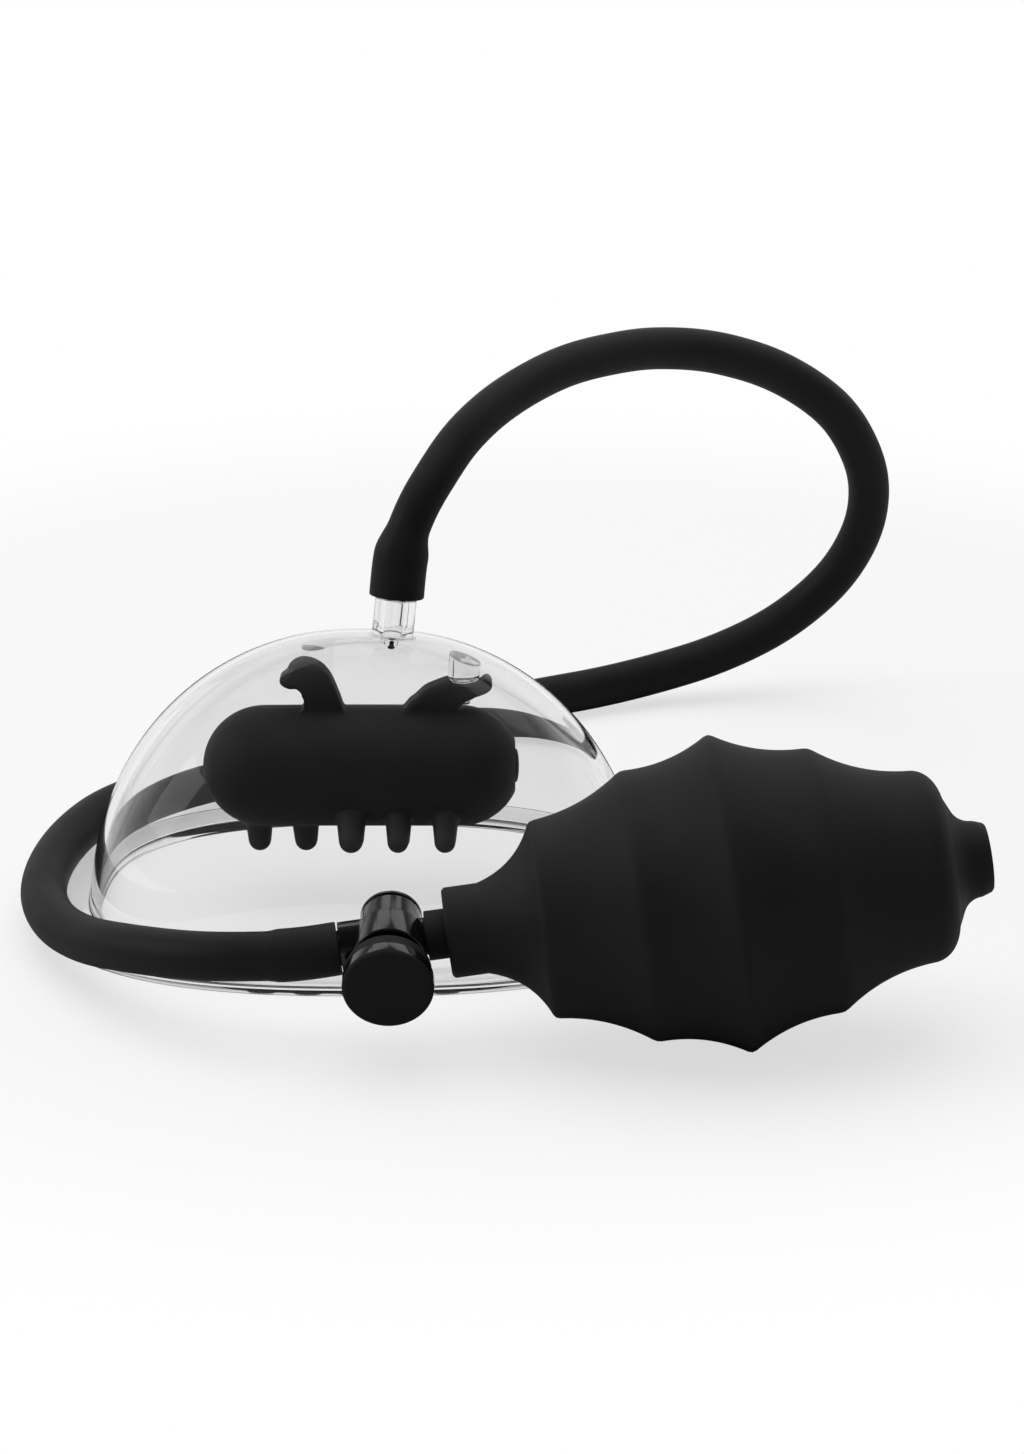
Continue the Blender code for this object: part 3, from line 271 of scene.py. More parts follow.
def clear_acrylic(name, quiet):
    """Cast acrylic with faint smears that only change its gloss. For lamps, and for light that has left a
    matt surface, the clear walls are plain windows. Of what it mirrors, the quiet share is left out."""
    made, tree, where, shader = new_finish(name)
    smears = drift(tree, where, 14.0, 4.0, 0.0, 0.02, (0.5, 0.8), 0.6)
    lens_values = {"IOR": ACRYLIC_IOR, "Roughness": smears}
    feed(tree, shader, {"Base Color": linear("#f6f6f6"), "Transmission Weight": 1.0, **lens_values})
    bent = {"Color": linear("#fbfbfb"), **lens_values}
    bent = add(tree, "ShaderNodeBsdfRefraction", bent).outputs["BSDF"]
    lens = add(tree, "ShaderNodeMixShader", {0: quiet, 1: shader.outputs["BSDF"], 2: bent}).outputs["Shader"]
    window = add(tree, "ShaderNodeBsdfTransparent", {"Color": linear("#f8f8f8")}).outputs["BSDF"]
    ray = add(tree, "ShaderNodeLightPath").outputs
    plain = {0: ray["Is Shadow Ray"], 1: ray["Is Diffuse Ray"]}
    plain = add(tree, "ShaderNodeMath", plain, operation="MAXIMUM").outputs["Value"]
    either = add(tree, "ShaderNodeMixShader", {0: plain, 1: lens, 2: window})
    feed(tree, tree.nodes["Material Output"], {"Surface": either.outputs["Shader"]})
    return made


abs_gloss = polished_abs()
steel = metal("drawn_steel", "#c9c9cb", (0.24, 0.38), 0.2)
brass = metal("sintered_heavy_alloy", "#b8975a", (0.34, 0.50), 0.3)
acrylic = clear_acrylic("polished_clear_acrylic", 0.0)
dome_acrylic = clear_acrylic("coated_clear_acrylic", 0.65)
print("finishes:", ", ".join(m.name for m in bpy.data.materials))

# %% [markdown]
# ## Surfaces from grids of points
#
# Every new piece is a grid: rows run along its profile and columns run round it. The grid is worked out as
# one array, and each four neighbouring points become a face. A row whose points all meet is a pole, and
# merging doubles closes it.

# %% Surface helpers


def turned(profile, at, sides=128):
    """Grid of a turned surface: a profile point (along, radius) goes round the x axis of its place as
    (along, radius cos a, radius sin a)."""
    angle = np.linspace(0, 2 * np.pi, sides, endpoint=False)
    along, radius = np.asarray(profile, float).T
    round_it = [np.broadcast_to(along[:, None], (len(along), sides))]
    round_it += [radius[:, None] * np.cos(angle), radius[:, None] * np.sin(angle)]
    origin, axes = at
    return origin + np.stack(round_it, axis=-1) @ axes


def rounded(corners, cuts, steps=6):
    """The outline with its inner corners rounded. Each corner B is cut back along both sides by its cut, to
    P and Q, and replaced by the curve (1-t)^2 P + 2t(1-t) B + t^2 Q. One cut serves all, or one for each."""
    corners = np.asarray(corners, float)
    cuts = np.broadcast_to(cuts, len(corners) - 2)
    before, here, after = corners[:-2], corners[1:-1], corners[2:]
    back, on = before - here, after - here
    long_back, long_on = np.linalg.norm(back, axis=1), np.linalg.norm(on, axis=1)
    cut = np.minimum(cuts, 0.48 * np.minimum(long_back, long_on))
    start = here + back * (cut / long_back)[:, None]
    end = here + on * (cut / long_on)[:, None]
    t = np.linspace(0, 1, steps + 1)[None, :, None]
    curve = (1 - t) ** 2 * start[:, None] + 2 * t * (1 - t) * here[:, None] + t**2 * end[:, None]
    return np.vstack([corners[:1], curve.reshape(-1, 2), corners[-1:]])


def mesh_of(name, grid, wrap_rows=False, capped=False, sharp=35.0):
    """A closed mesh from a grid of points, rows by columns. The columns always close into rings. Where the
    rows neither wrap nor end in poles, the first and last ring are capped with one face each."""
    rows, columns = grid.shape[:2]
    index = np.arange(rows * columns).reshape(rows, columns)
    upper, lower = (index, np.roll(index, -1, axis=0)) if wrap_rows else (index[:-1], index[1:])
    faces = np.stack([upper, np.roll(upper, -1, 1), np.roll(lower, -1, 1), lower], axis=-1).reshape(-1, 4)
    caps = [index[0].tolist(), index[-1].tolist()] if capped else []
    mesh = bpy.data.meshes.new(name)
    mesh.from_pydata(grid.reshape(-1, 3), [], faces.tolist() + caps)
    bm = bmesh.new()
    bm.from_mesh(mesh)
    if not capped:  # a ring of no size becomes one point, a pole
        bmesh.ops.remove_doubles(bm, verts=bm.verts, dist=1e-6)
    bmesh.ops.recalc_face_normals(bm, faces=bm.faces)
    bm.to_mesh(mesh)
    bm.free()
    mesh.shade_smooth()
    mesh.set_sharp_from_angle(angle=math.radians(sharp))
    return mesh


def linked(name, mesh):
    """A new object with this mesh, at the origin."""
    made = bpy.data.objects.new(name, mesh)
    bpy.context.scene.collection.objects.link(made)
    return made


def apply_modifiers(piece):
    """Turns what the modifiers make of a piece into its own mesh."""
    evaluated = piece.evaluated_get(bpy.context.evaluated_depsgraph_get())
    mesh = bpy.data.meshes.new_from_object(evaluated)
    piece.modifiers.clear()
    piece.data = mesh
    return piece


def cut_or_join(piece, other, operation):
    """Joins another mesh to a piece, or cuts it out, and removes the other."""
    step = piece.modifiers.new(operation, "BOOLEAN")
    step.operation = operation
    step.object = other
    apply_modifiers(piece)
    bpy.data.objects.remove(other)
    return piece


def finished(piece, body, finish, slot, *nodes):
    """Gives a piece its finish and the body it moves with, and hides the nodes that it stands for. Its slot
    is not used.
    """
    piece.data.materials.clear()
    piece.data.materials.append(finish)
    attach(piece, body)
    if nodes:
        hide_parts(*nodes)
    piece.data.calc_loop_triangles()
    print(f"{piece.name}: {len(piece.data.loop_triangles)} triangles")
    return piece


def second_finish(piece, finish, chosen):
    """Gives another finish to the faces whose middles are chosen by a function of all their places."""
    piece.data.materials.append(finish)
    middles = np.empty(3 * len(piece.data.polygons))
    piece.data.polygons.foreach_get("center", middles)
    slots = np.empty(len(piece.data.polygons), np.int32)
    piece.data.polygons.foreach_get("material_index", slots)
    picked = chosen(middles.reshape(-1, 3))
    slots[picked] = len(piece.data.materials) - 1
    piece.data.polygons.foreach_set("material_index", slots)
    print(f"{piece.name}: {picked.sum()} faces of {finish.name}")


# %% [markdown]
# ## The hose
#
# A soft silicone tube of 9 mm, from the cup's nipple in a free loop, down to the table, round behind the
# cup and back to the valve. It is 543 mm long, which is the length that the photograph shows. Its ends are
# stretched over what they sit on, so they are wider. The line is a smooth curve through the route's points,
# and a ring is carried along it. The ring's frame turns with the line and never spins, which keeps the tube
# from twisting.

# %% The hose's line
HOSE_DIAMETER = 9.0 * MM
HOSE_START = (-0.01904, 0.02249, 0.06328)
HOSE_START_ALONG = unit((0.1035, 0.1392, 0.9848))
COLLAR_END = 9.0 * MM
HOSE_ROUTE = (
    (-0.0168, 0.0244, 0.0758),
    (-0.0149, 0.0262, 0.0804),
    (-0.0115, 0.0299, 0.0852),
    (-0.0065, 0.0377, 0.0907),
    (0.0017, 0.0508, 0.0948),
    (0.0134, 0.0667, 0.0971),
    (0.0255, 0.0817, 0.0963),
    (0.0348, 0.0922, 0.0944),
    (0.0466, 0.1032, 0.0905),
    (0.0605, 0.1152, 0.0830),
    (0.0731, 0.1248, 0.0721),
    (0.0803, 0.1326, 0.0591),
    (0.0823, 0.1378, 0.0484),
    (0.0807, 0.1417, 0.0380),
    (0.0748, 0.1444, 0.0270),
    (0.0636, 0.1454, 0.0167),
    (0.0500, 0.1432, 0.0103),
    (0.0364, 0.1397, 0.0069),
    (0.0227, 0.1347, 0.0051),
    (0.0090, 0.1280, 0.0048),
    (-0.0065, 0.1182, 0.0048),
    (-0.0230, 0.1062, 0.0048),
    (-0.0395, 0.0932, 0.0049),
    (-0.0550, 0.0806, 0.0054),
    (-0.0690, 0.0679, 0.0064),
    (-0.0796, 0.0536, 0.0072),
    (-0.0854, 0.0384, 0.0073),
    (-0.0880, 0.0220, 0.0073),
    (-0.0875, 0.0065, 0.0073),
    (-0.0835, -0.0075, 0.0078),
    (-0.0770, -0.0190, 0.0093),
    (-0.0692, -0.0295, 0.0122),
    (-0.0601, -0.0382, 0.0147),
    (-0.0510, -0.0442, 0.0166),
)


def curve_through(knots, steps):
    """The Catmull-Rom curve from the second knot to the last but one, in this many steps between two. Between
    knots b and c it is (2b + (c-a)t + (2a-5b+4c-d)t^2 + (3b-a-3c+d)t^3) / 2."""
    a, b, c, d = (knots[i : len(knots) - 3 + i, None] for i in range(4))
    t = np.linspace(0, 1, steps, endpoint=False)[None, :, None]
    curve = 2 * b + (c - a) * t + (2 * a - 5 * b + 4 * c - d) * t**2 + (3 * b - a - 3 * c + d) * t**3
    return np.vstack([curve.reshape(-1, knots.shape[1]) / 2, knots[-2:-1]])


def run_along(line):
    """The length of a line from its start to each of its points."""
    return np.concatenate([[0], np.cumsum(np.linalg.norm(np.diff(line, axis=0), axis=1))])


def smooth_line(points, spacing, even_out):
    """Evenly spaced points on the curve through the given ones. A running mean over even_out, with
    bell-shaped weights, rounds its bends off. The line is first mirrored through its ends, so that these
    stay where they are."""
    knots = np.asarray(points, float)
    fine = curve_through(np.vstack([2 * knots[0] - knots[1], knots, 2 * knots[-1] - knots[-2]]), 24)
    run = run_along(fine)
    at = np.linspace(0, run[-1], round(run[-1] / spacing) + 1)
    line = np.stack([np.interp(at, run, fine[:, k]) for k in range(3)], axis=1)
    reach = round(even_out / spacing)
    weights = np.hanning(2 * reach + 3)[1:-1]
    before = 2 * line[0] - line[reach:0:-1]
    beyond = 2 * line[-1] - line[-2 : -reach - 2 : -1]
    longer = np.vstack([before, line, beyond])
    return np.stack([np.convolve(longer[:, k], weights / weights.sum(), "valid") for k in range(3)], axis=1)


hose_end = CROSSING - (COLLAR_END + SEAT_GAP) * PUMP_ALONG
hose_knots = [
    np.array(HOSE_START),
    HOSE_START + HOSE_DIAMETER * HOSE_START_ALONG,
    *HOSE_ROUTE,
    hose_end - HOSE_DIAMETER * PUMP_ALONG,
    hose_end,
]
hose_line = smooth_line(hose_knots, 1.0 * MM, 7.0 * MM)
hose_run = run_along(hose_line)
print(f"hose line: {hose_run[-1] / MM:.1f} mm, {len(hose_line)} points")

# %% The hose's surface
HOSE_RADIUS = HOSE_DIAMETER / 2
NIPPLE_FLARE = (5.3 * MM, 8.0 * MM, 14.0 * MM)  # radius, where it starts to shrink, where it has shrunk
VALVE_FLARE = (4.85 * MM, 10.5 * MM, 13.0 * MM)
STRETCHED_RADIUS = 4.1 * MM  # of the loop near the nipple, drawn thin by its own weight
STRETCHED_RUN = (30.0 * MM, 160.0 * MM)  # where the loop starts to get its full width, and where it has it
HOSE_BORE_DEPTH = 6.0 * MM
HOSE_WALLS = (1.4 * MM, 1.5 * MM)  # of the stretched ends


def step(value, start, end):
    """Goes smoothly from 0 to 1 between start and end, as 3s^2 - 2s^3."""
    s = np.clip((value - start) / (end - start), 0, 1)
    return s * s * (3 - 2 * s)


def hose_radius(run):
    """Radius at each place along the hose: a wide cuff, the drawn loop, the full tube, a slight cuff."""
    cuff, shrink, shrunk = NIPPLE_FLARE
    last, grown, grow = VALVE_FLARE
    left = run[-1] - run
    radius = STRETCHED_RADIUS + (HOSE_RADIUS - STRETCHED_RADIUS) * step(run, *STRETCHED_RUN)
    radius += (cuff - radius) * (1 - step(run, shrink, shrunk))
    return radius + (last - radius) * (1 - step(left, grown, grow))


def carried(line, radius, sides=48):
    """Grid of a tube along a line. The ring stands square to the line, and each ring's first axis is the one
    before it, laid square to the line again."""
    ahead = np.gradient(line, axis=0)
    ahead /= np.linalg.norm(ahead, axis=1)[:, None]
    side = np.empty_like(line)
    side[0] = unit(np.cross(ahead[0], (0, 1, 0)))
    for i in range(1, len(line)):
        side[i] = unit(side[i - 1] - ahead[i] * (side[i - 1] @ ahead[i]))
    other = np.cross(ahead, side)
    angle = np.linspace(0, 2 * np.pi, sides, endpoint=False)
    ring = side[:, None] * np.cos(angle)[:, None] + other[:, None] * np.sin(angle)[:, None]
    return line[:, None] + radius[:, None, None] * ring


def hose_grid():
    """The outside with a rounded edge at each end, then back into the bore, which ends in a pole."""
    outside = carried(hose_line, hose_radius(hose_run))
    ends = []
    for skin, centre, wall in zip((outside, outside[::-1]), (hose_line, hose_line[::-1]), HOSE_WALLS):
        ahead = unit(centre[1] - centre[0])
        spokes = skin[0] - centre[0]
        radius = np.linalg.norm(spokes[0])
        spokes = spokes / radius
        # (depth, radius) from the bore's closed end to the rim
        edge = [(HOSE_BORE_DEPTH, 0.0), (HOSE_BORE_DEPTH, radius - wall), (0.0, radius - wall), (0.0, radius)]
        edge = rounded(edge + [(0.6 * MM, radius)], (0.3 * MM, 0.2 * MM, 0.45 * MM))
        ends.append(centre[0] + edge[:, 0, None, None] * ahead + edge[:, 1, None, None] * spokes)
    return np.vstack([ends[0][:-1], outside[1:-1], ends[1][::-1][1:]])


hose = linked("silicone_hose", mesh_of("silicone_hose", hose_grid()))
finished(hose, "pump", silicone, "black_silicone", "hose")

# %% [markdown]
# ## The cup's dome
#
# The cup is one clear moulding: an oval dome with a flat flange round its mouth. Seen from above it is a
# superellipse, |x/a|^2.5 + |y/b|^2.5 = 1, and upright cuts through it are half ellipses. Its rings are
# spread round the small air hole under the hose nipple and not round the top, so that the clear skin has no
# pole to bend the light, and the hole needs no cutting. Only the outer skin is coated.

# %% The dome
CUP_LOW, CUP_HIGH = (np.array(corner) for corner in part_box("cup_shell"))
FLANGE_WIDTH = 9.5 * MM
FLANGE_THICKNESS = 2.0 * MM
FLANGE_FILLET = 1.6 * MM
CUP_WALL = 1.7 * MM
CUP_PLAN_POWER = 2.5
CUP_CENTRE = (CUP_LOW + CUP_HIGH)[:2] / 2
CUP_HALF = (CUP_HIGH - CUP_LOW)[:2] / 2 - FLANGE_WIDTH
CUP_HEIGHT = CUP_HIGH[2]
NIPPLE_FOOT = CUP_CENTRE + np.array([5.5, -3.0]) * MM
NIPPLE_UP = HOSE_START_ALONG
HOLE_RADIUS = 0.7 * MM  # the air passage, hidden under the nipple
CUP_SIDES = 192
CUP_ROWS = 72


def plan(out):
    """The cup's oval, |x/a|^p + |y/b|^p = 1, moved out by this distance at its four ends."""
    angle = np.linspace(0, 2 * np.pi, CUP_SIDES, endpoint=False)
    turn = np.stack([np.cos(angle), np.sin(angle)], axis=-1)
    return CUP_CENTRE + (CUP_HALF + out) * np.sign(turn) * np.abs(turn) ** (2 / CUP_PLAN_POWER)


def dome_height(points, inset=0.0):
    """Height of the dome's skin over points (x, y): H sqrt(1 - r^2), where r says how far out they are."""
    share = np.abs(points[..., :2] - CUP_CENTRE) / (CUP_HALF - inset)
    reach = (share**CUP_PLAN_POWER).sum(axis=-1) ** (1 / CUP_PLAN_POWER)
    return (CUP_HEIGHT - inset) * np.sqrt(np.clip(1 - reach**2, 0, 1))


def onto_dome(points, along, inset=0.0):
    """Moves points along a direction until they lie on the dome's skin."""
    for _ in range(20):
        points = points + along * ((dome_height(points, inset) - points[..., 2]) / along[2])[..., None]
    return points


def dome_skin(inset, lowest):
    """Rings of one face of the dome, from the nipple's hole out to where it meets the flange."""
    foot = np.array([*NIPPLE_FOOT, CUP_HEIGHT])
    hole = foot + turned([(0.0, HOLE_RADIUS)], (np.zeros(3), place(foot, NIPPLE_UP)[1]), CUP_SIDES)[0]
    hole = onto_dome(hole, NIPPLE_UP, inset)
    # The plan's points start at +X and run to +Y, so the hole's ring is turned to match them.
    bearing = np.arctan2(hole[:, 1] - hole[:, 1].mean(), hole[:, 0] - hole[:, 0].mean())
    order = np.argsort(np.mod(bearing, 2 * np.pi))
    hole = hole[order]
    last = math.asin(math.sqrt(1 - (lowest / (CUP_HEIGHT - inset)) ** 2))
    share = np.sin(np.linspace(0, last, CUP_ROWS))[:, None, None]
    flat = (1 - share) * hole[None, :, :2] + share * plan(-inset)[None]
    skin = np.concatenate([flat, dome_height(flat, inset)[..., None]], axis=-1)
    skin[0] = hole
    return skin


def level_ring(out, height):
    """The cup's oval, moved out by this distance, at one height."""
    ring = plan(out)
    return np.concatenate([ring, np.full((len(ring), 1), height)], axis=-1)


def cup_grid():
    """From the hole down the outside, round the flange, and up the inside back to the hole."""
    outside = dome_skin(0.0, FLANGE_THICKNESS + FLANGE_FILLET)
    inside = dome_skin(CUP_WALL, FLANGE_FILLET)[::-1]
    wall = -CUP_WALL
    half = FLANGE_THICKNESS / 2
    rim = [(0.0, FLANGE_THICKNESS + FLANGE_FILLET), (0.0, FLANGE_THICKNESS), (FLANGE_WIDTH, FLANGE_THICKNESS)]
    rim += [(FLANGE_WIDTH, 0.0), (wall, 0.0), (wall, FLANGE_FILLET)]
    rim = rounded(rim, (FLANGE_FILLET, half, half, FLANGE_FILLET), 8)[1:-1]
    return np.vstack([outside, np.stack([level_ring(*point) for point in rim]), inside])


dome = linked("clear_cup", mesh_of("clear_cup", cup_grid(), wrap_rows=True, sharp=50))
finished(dome, "pump", dome_acrylic, "clear_acrylic", "cup_shell")


def off_outer_skin(points):
    """The inside and the flange. On the outer skin r^2 + (z/H)^2 is 1, and inside of it the sum is less."""
    share = np.abs(points[:, :2] - CUP_CENTRE) / CUP_HALF
    reach = (share**CUP_PLAN_POWER).sum(axis=1) ** (2 / CUP_PLAN_POWER)
    inside = reach + (points[:, 2] / CUP_HEIGHT) ** 2 < 0.97
    return inside | (points[:, 2] < 2 * FLANGE_THICKNESS)


second_finish(dome, acrylic, off_outer_skin)

# %% [markdown]
# ## The nipple and the pegs
#
# The nipple is a bored tube on a low ring, cemented on top of the dome, and two clear pegs hang from its
# inside. Their ends follow the dome: each point of the end is slid along the piece's axis until it meets
# the skin. Cement fills the joint under the ring, so no light bends there, and the left peg is wetted by
# the soft ear it holds.

# %% Nipple and pegs
NIPPLE_LENGTH = 9.0 * MM
NIPPLE_RADIUS = 4.0 * MM
NIPPLE_BORE = 1.9 * MM
NIPPLE_RING = (4.6 * MM, 1.7 * MM)  # radius, height
NIPPLE_JOINT = 1.3 * MM  # the ring's height that the cement covers


def nipple_grid():
    """Up the outside from the ring's foot on the dome, over the top and down the bore."""
    base = onto_dome(np.array([*NIPPLE_FOOT, CUP_HEIGHT]), NIPPLE_UP)
    at = place(base, NIPPLE_UP)
    ring, height = NIPPLE_RING
    profile = [(0.0, ring), (height, ring), (height, NIPPLE_RADIUS), (NIPPLE_LENGTH, NIPPLE_RADIUS)]
    profile += [(NIPPLE_LENGTH, NIPPLE_BORE), (0.0, NIPPLE_BORE)]
    profile = rounded(profile, (0.4 * MM, 0.35 * MM, 0.4 * MM, 0.3 * MM))
    grid = turned(profile, at, 96)
    for row in (0, -1):
        grid[row] = onto_dome(grid[row], NIPPLE_UP) + SEAT_GAP * NIPPLE_UP
    return grid


def from_nipple(points):
    """How far points are along the nipple's axis from its foot, and how far out from that axis."""
    foot = onto_dome(np.array([*NIPPLE_FOOT, CUP_HEIGHT]), NIPPLE_UP)
    along = (points - foot) @ NIPPLE_UP
    return along, np.linalg.norm(points - foot - along[:, None] * NIPPLE_UP, axis=1)


def on_nipple_joint(points):
    """The lower part of the ring and of the bore, where the cement is."""
    return from_nipple(points)[0] < NIPPLE_JOINT


def clear_cement():
    """Where clear faces are cemented, or wetted by soft silicone, nothing is left for light to bend at."""
    made, tree, where, shader = new_finish("clear_wetted_joint")
    tree.nodes.remove(shader)
    tint = {"Factor": drift(tree, where, 3.0, 3.0, 0.0, 1.0), "A": linear("#fbfbfb"), "B": linear("#ffffff")}
    tint = add(tree, "ShaderNodeMix", tint, data_type="RGBA").outputs["Result"]
    through = add(tree, "ShaderNodeBsdfTransparent", {"Color": tint})
    feed(tree, tree.nodes["Material Output"], {"Surface": through.outputs["BSDF"]})
    return made


cement = clear_cement()
nipple = linked("clear_nipple", mesh_of("clear_nipple", nipple_grid(), wrap_rows=True, sharp=50))
finished(nipple, "pump", acrylic, "clear_acrylic", "cup_nipple")
second_finish(nipple, cement, on_nipple_joint)

PEG_RADIUS = 3.0 * MM
PEG_PIN_RADIUS = 1.3 * MM
PEG_PIN_LENGTHS = {"left": 8.0 * MM, "right": 4.8 * MM}
PEG_WETTED = 2.4 * MM  # above the peg's shoulder
PEG_SLOPES = {  # where the ear under a peg isn't flat: (x, z) in mm from the middle of the peg's end
    "hanger_peg_left": ((-3.0, 0.6), (-1.0, 0.5), (0.3, -0.2), (1.4, -1.2), (2.4, -2.6), (3.0, -3.8)),
}


def peg_grid(node, pin):
    """From the top on the dome's inside, down the barrel, and round the pin to a pole."""
    low, high = (np.array(corner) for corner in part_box(node))
    origin = np.array([*(low + high)[:2] / 2, low[2]])
    top = high[2] - low[2]
    profile = [(top, 0.0), (top, PEG_RADIUS), (pin, PEG_RADIUS), (pin, PEG_PIN_RADIUS)]
    profile += [(0.0, PEG_PIN_RADIUS), (0.0, 0.0)]
    profile = rounded(profile, (0.01 * MM, 0.35 * MM, 0.3 * MM, 0.3 * MM))
    grid = turned(profile, place(origin, (0, 0, 1), up=(0, 1, 0)), 64)
    up = np.array([0.0, 0.0, 1.0])
    if node in PEG_SLOPES:
        on_end = (np.abs(profile[:, 0] - pin) < 0.4 * MM) & (profile[:, 1] > PEG_PIN_RADIUS + 0.1 * MM)
        x, z = np.array(PEG_SLOPES[node]).T * MM
        grid[on_end, :, 2] += np.interp(grid[on_end, :, 0] - origin[0], x, z)
    on_top = profile[:, 0] > top - 0.02 * MM
    grid[on_top] = onto_dome(grid[on_top], up, CUP_WALL + SEAT_GAP)
    return grid


for side, pin in PEG_PIN_LENGTHS.items():
    node = f"hanger_peg_{side}"
    peg = linked(f"clear_peg_{side}", mesh_of(f"clear_peg_{side}", peg_grid(node, pin), sharp=50))
    finished(peg, "pump", acrylic, "clear_acrylic", node)
    if node in PEG_SLOPES:
        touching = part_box(node)[0][2] + pin + PEG_WETTED
        second_finish(peg, cement, lambda points: points[:, 2] < touching)

# %% [markdown]
# ## The squeeze bulb
#
# A thick rubber bulb with five sharp ribs, which let it fold up evenly when it is squeezed. Between two
# ribs the skin dips inwards on a shallow curve. Its mould was turned on a lathe, so it is drawn here the
# same way: one profile, carried round the pump's axis.

# %% The bulb
BULB_NECK_RADIUS = 8.2 * MM
BULB_NECK_LENGTH = 6.5 * MM
BULB_RIBS = np.array(((17.2, 17.9), (34.7, 24.6), (51.3, 29.0), (68.8, 24.0), (86.0, 17.4))) * MM
BULB_LENGTH = 98.3 * MM
BULB_TAIL_RADIUS = 6.3 * MM
BULB_TAIL_LENGTH = 4.5 * MM
BULB_HOLLOW = 1.4 * MM
BULB_NECK_HOLLOW = 1.8 * MM
BULB_TAIL_FILLET = 4.0 * MM
BULB_WALL = 3.0 * MM
BULB_PLUG_RADIUS = 4.7 * MM
BULB_NECK_EDGE = 0.5 * MM
BULB_TAIL_EDGE = 0.35 * MM
SHOULDER_BULGE = (0.66, 0.55)  # shares of the way and of the drop to the tail that the shoulder takes
FILLET_DROP = 0.36  # share of that drop that the tail's fillet takes
HOUSING_RADIUS = 4.0 * MM
HOUSING_DEPTH = 7.8 * MM


def dip(start, end, depth, steps=20):
    """Points between two ribs: the straight line from start to end, sunk inwards by 4 depth t (1-t)."""
    t = np.linspace(0, 1, steps + 2)[1:-1, None]
    chord = end - start
    inward = unit((chord[1], -chord[0]))
    return start + chord * t + inward * depth * 4 * t * (1 - t)


def ellipse_part(centre, radii, first, last, steps):
    """Points on an ellipse from one angle to another, in degrees."""
    angle = np.radians(np.linspace(first, last, steps + 1))[:, None]
    return np.asarray(centre) + np.asarray(radii) * np.concatenate([np.cos(angle), np.sin(angle)], axis=1)


def bulb_profile():
    """Outside from neck to tail, then back through the hollow inside."""
    neck = np.array([BULB_NECK_LENGTH, BULB_NECK_RADIUS])
    outside = [np.array([[0.0, BULB_NECK_RADIUS - BULB_NECK_EDGE], [BULB_NECK_EDGE, BULB_NECK_RADIUS], neck])]
    outside.append(dip(neck, BULB_RIBS[0], BULB_NECK_HOLLOW))
    for here, following in zip(BULB_RIBS, BULB_RIBS[1:]):
        outside += [here[None], dip(here, following, BULB_HOLLOW)]
    shoulder = BULB_RIBS[-1]
    tail_foot = BULB_LENGTH - BULB_TAIL_LENGTH
    drop = shoulder[1] - BULB_TAIL_RADIUS
    bulge = np.array([tail_foot - shoulder[0], drop]) * SHOULDER_BULGE
    outside.append(ellipse_part((shoulder[0], shoulder[1] - bulge[1]), bulge, 90, 10, 20))
    fillet = (BULB_TAIL_FILLET, FILLET_DROP * drop)
    centre = (tail_foot + 0.6 * BULB_TAIL_FILLET, BULB_TAIL_RADIUS + 0.15 * BULB_TAIL_FILLET + fillet[1])
    outside.append(ellipse_part(centre, fillet, 205, 270, 12))
    skin = eased(np.vstack(outside), 3.0 * MM)
    tail = [[BULB_LENGTH - BULB_TAIL_EDGE, BULB_TAIL_RADIUS]]
    tail += [[BULB_LENGTH, BULB_TAIL_RADIUS - BULB_TAIL_EDGE]]
    bore = HOUSING_RADIUS + SEAT_GAP
    inside = [[BULB_LENGTH, bore], [BULB_LENGTH - HOUSING_DEPTH + SEAT_GAP, bore]]
    inside += [[at, radius - BULB_WALL - BULB_HOLLOW / 3] for at, radius in BULB_RIBS[::-1]]
    inside += [[BULB_NECK_LENGTH + MM, BULB_PLUG_RADIUS + SEAT_GAP], [0.0, BULB_PLUG_RADIUS + SEAT_GAP]]
    return np.vstack([skin, tail, inside])


def eased(profile, width):
    """Softens an outline: a point p whose neighbours a and b are nearer than width goes to (a+2p+b)/4."""
    middle = (profile[:-2] + 2 * profile[1:-1] + profile[2:]) / 4
    near = np.linalg.norm(profile[2:] - profile[:-2], axis=1) < width
    return np.vstack([profile[:1], np.where(near[:, None], middle, profile[1:-1]), profile[-1:]])


BULB = place(NECK_END, PUMP_ALONG)
bulb_grid = turned(bulb_profile(), BULB, 160)
bulb = linked("rubber_bulb", mesh_of("rubber_bulb", bulb_grid, wrap_rows=True, sharp=40))
finished(bulb, "pump", rubber, "black_rubber", "squeeze_bulb")

# %% [markdown]
# ## The release valve
#
# One glossy moulding: a barrel across the pump's line, with a collar and a spigot for the hose on one side
# and a barbed plug for the bulb on the other. Both are turned shapes, so they are made apart, joined, and
# then bored.

# %% Valve body
BARREL_RADIUS = 5.6 * MM
BARREL_REAR = -7.0 * MM
BARREL_FRONT = 10.2 * MM
BARREL_BORE = 3.8 * MM
BAND_RADIUS = 6.8 * MM  # the thicker middle of the barrel
BAND = (-0.9 * MM, 6.3 * MM)
WEB = (4.8 * MM, 6.8 * MM)
STEM_GUIDE = 1.7 * MM
COLLAR_RADIUS = 4.7 * MM
COLLAR_START = 3.0 * MM
HOSE_SPIGOT_RADIUS = 3.2 * MM
HOSE_SPIGOT_LENGTH = 5.0 * MM
STEM_OUTSIDE = 3.4 * MM
PLUG_START = 6.6 * MM
PLUG_RADIUS = 4.5 * MM
PLUG_END = 18.3 * MM
BARB_HEIGHT = 0.2 * MM
BARB_RISE = 0.3 * MM
BARB_LENGTH = 1.6 * MM
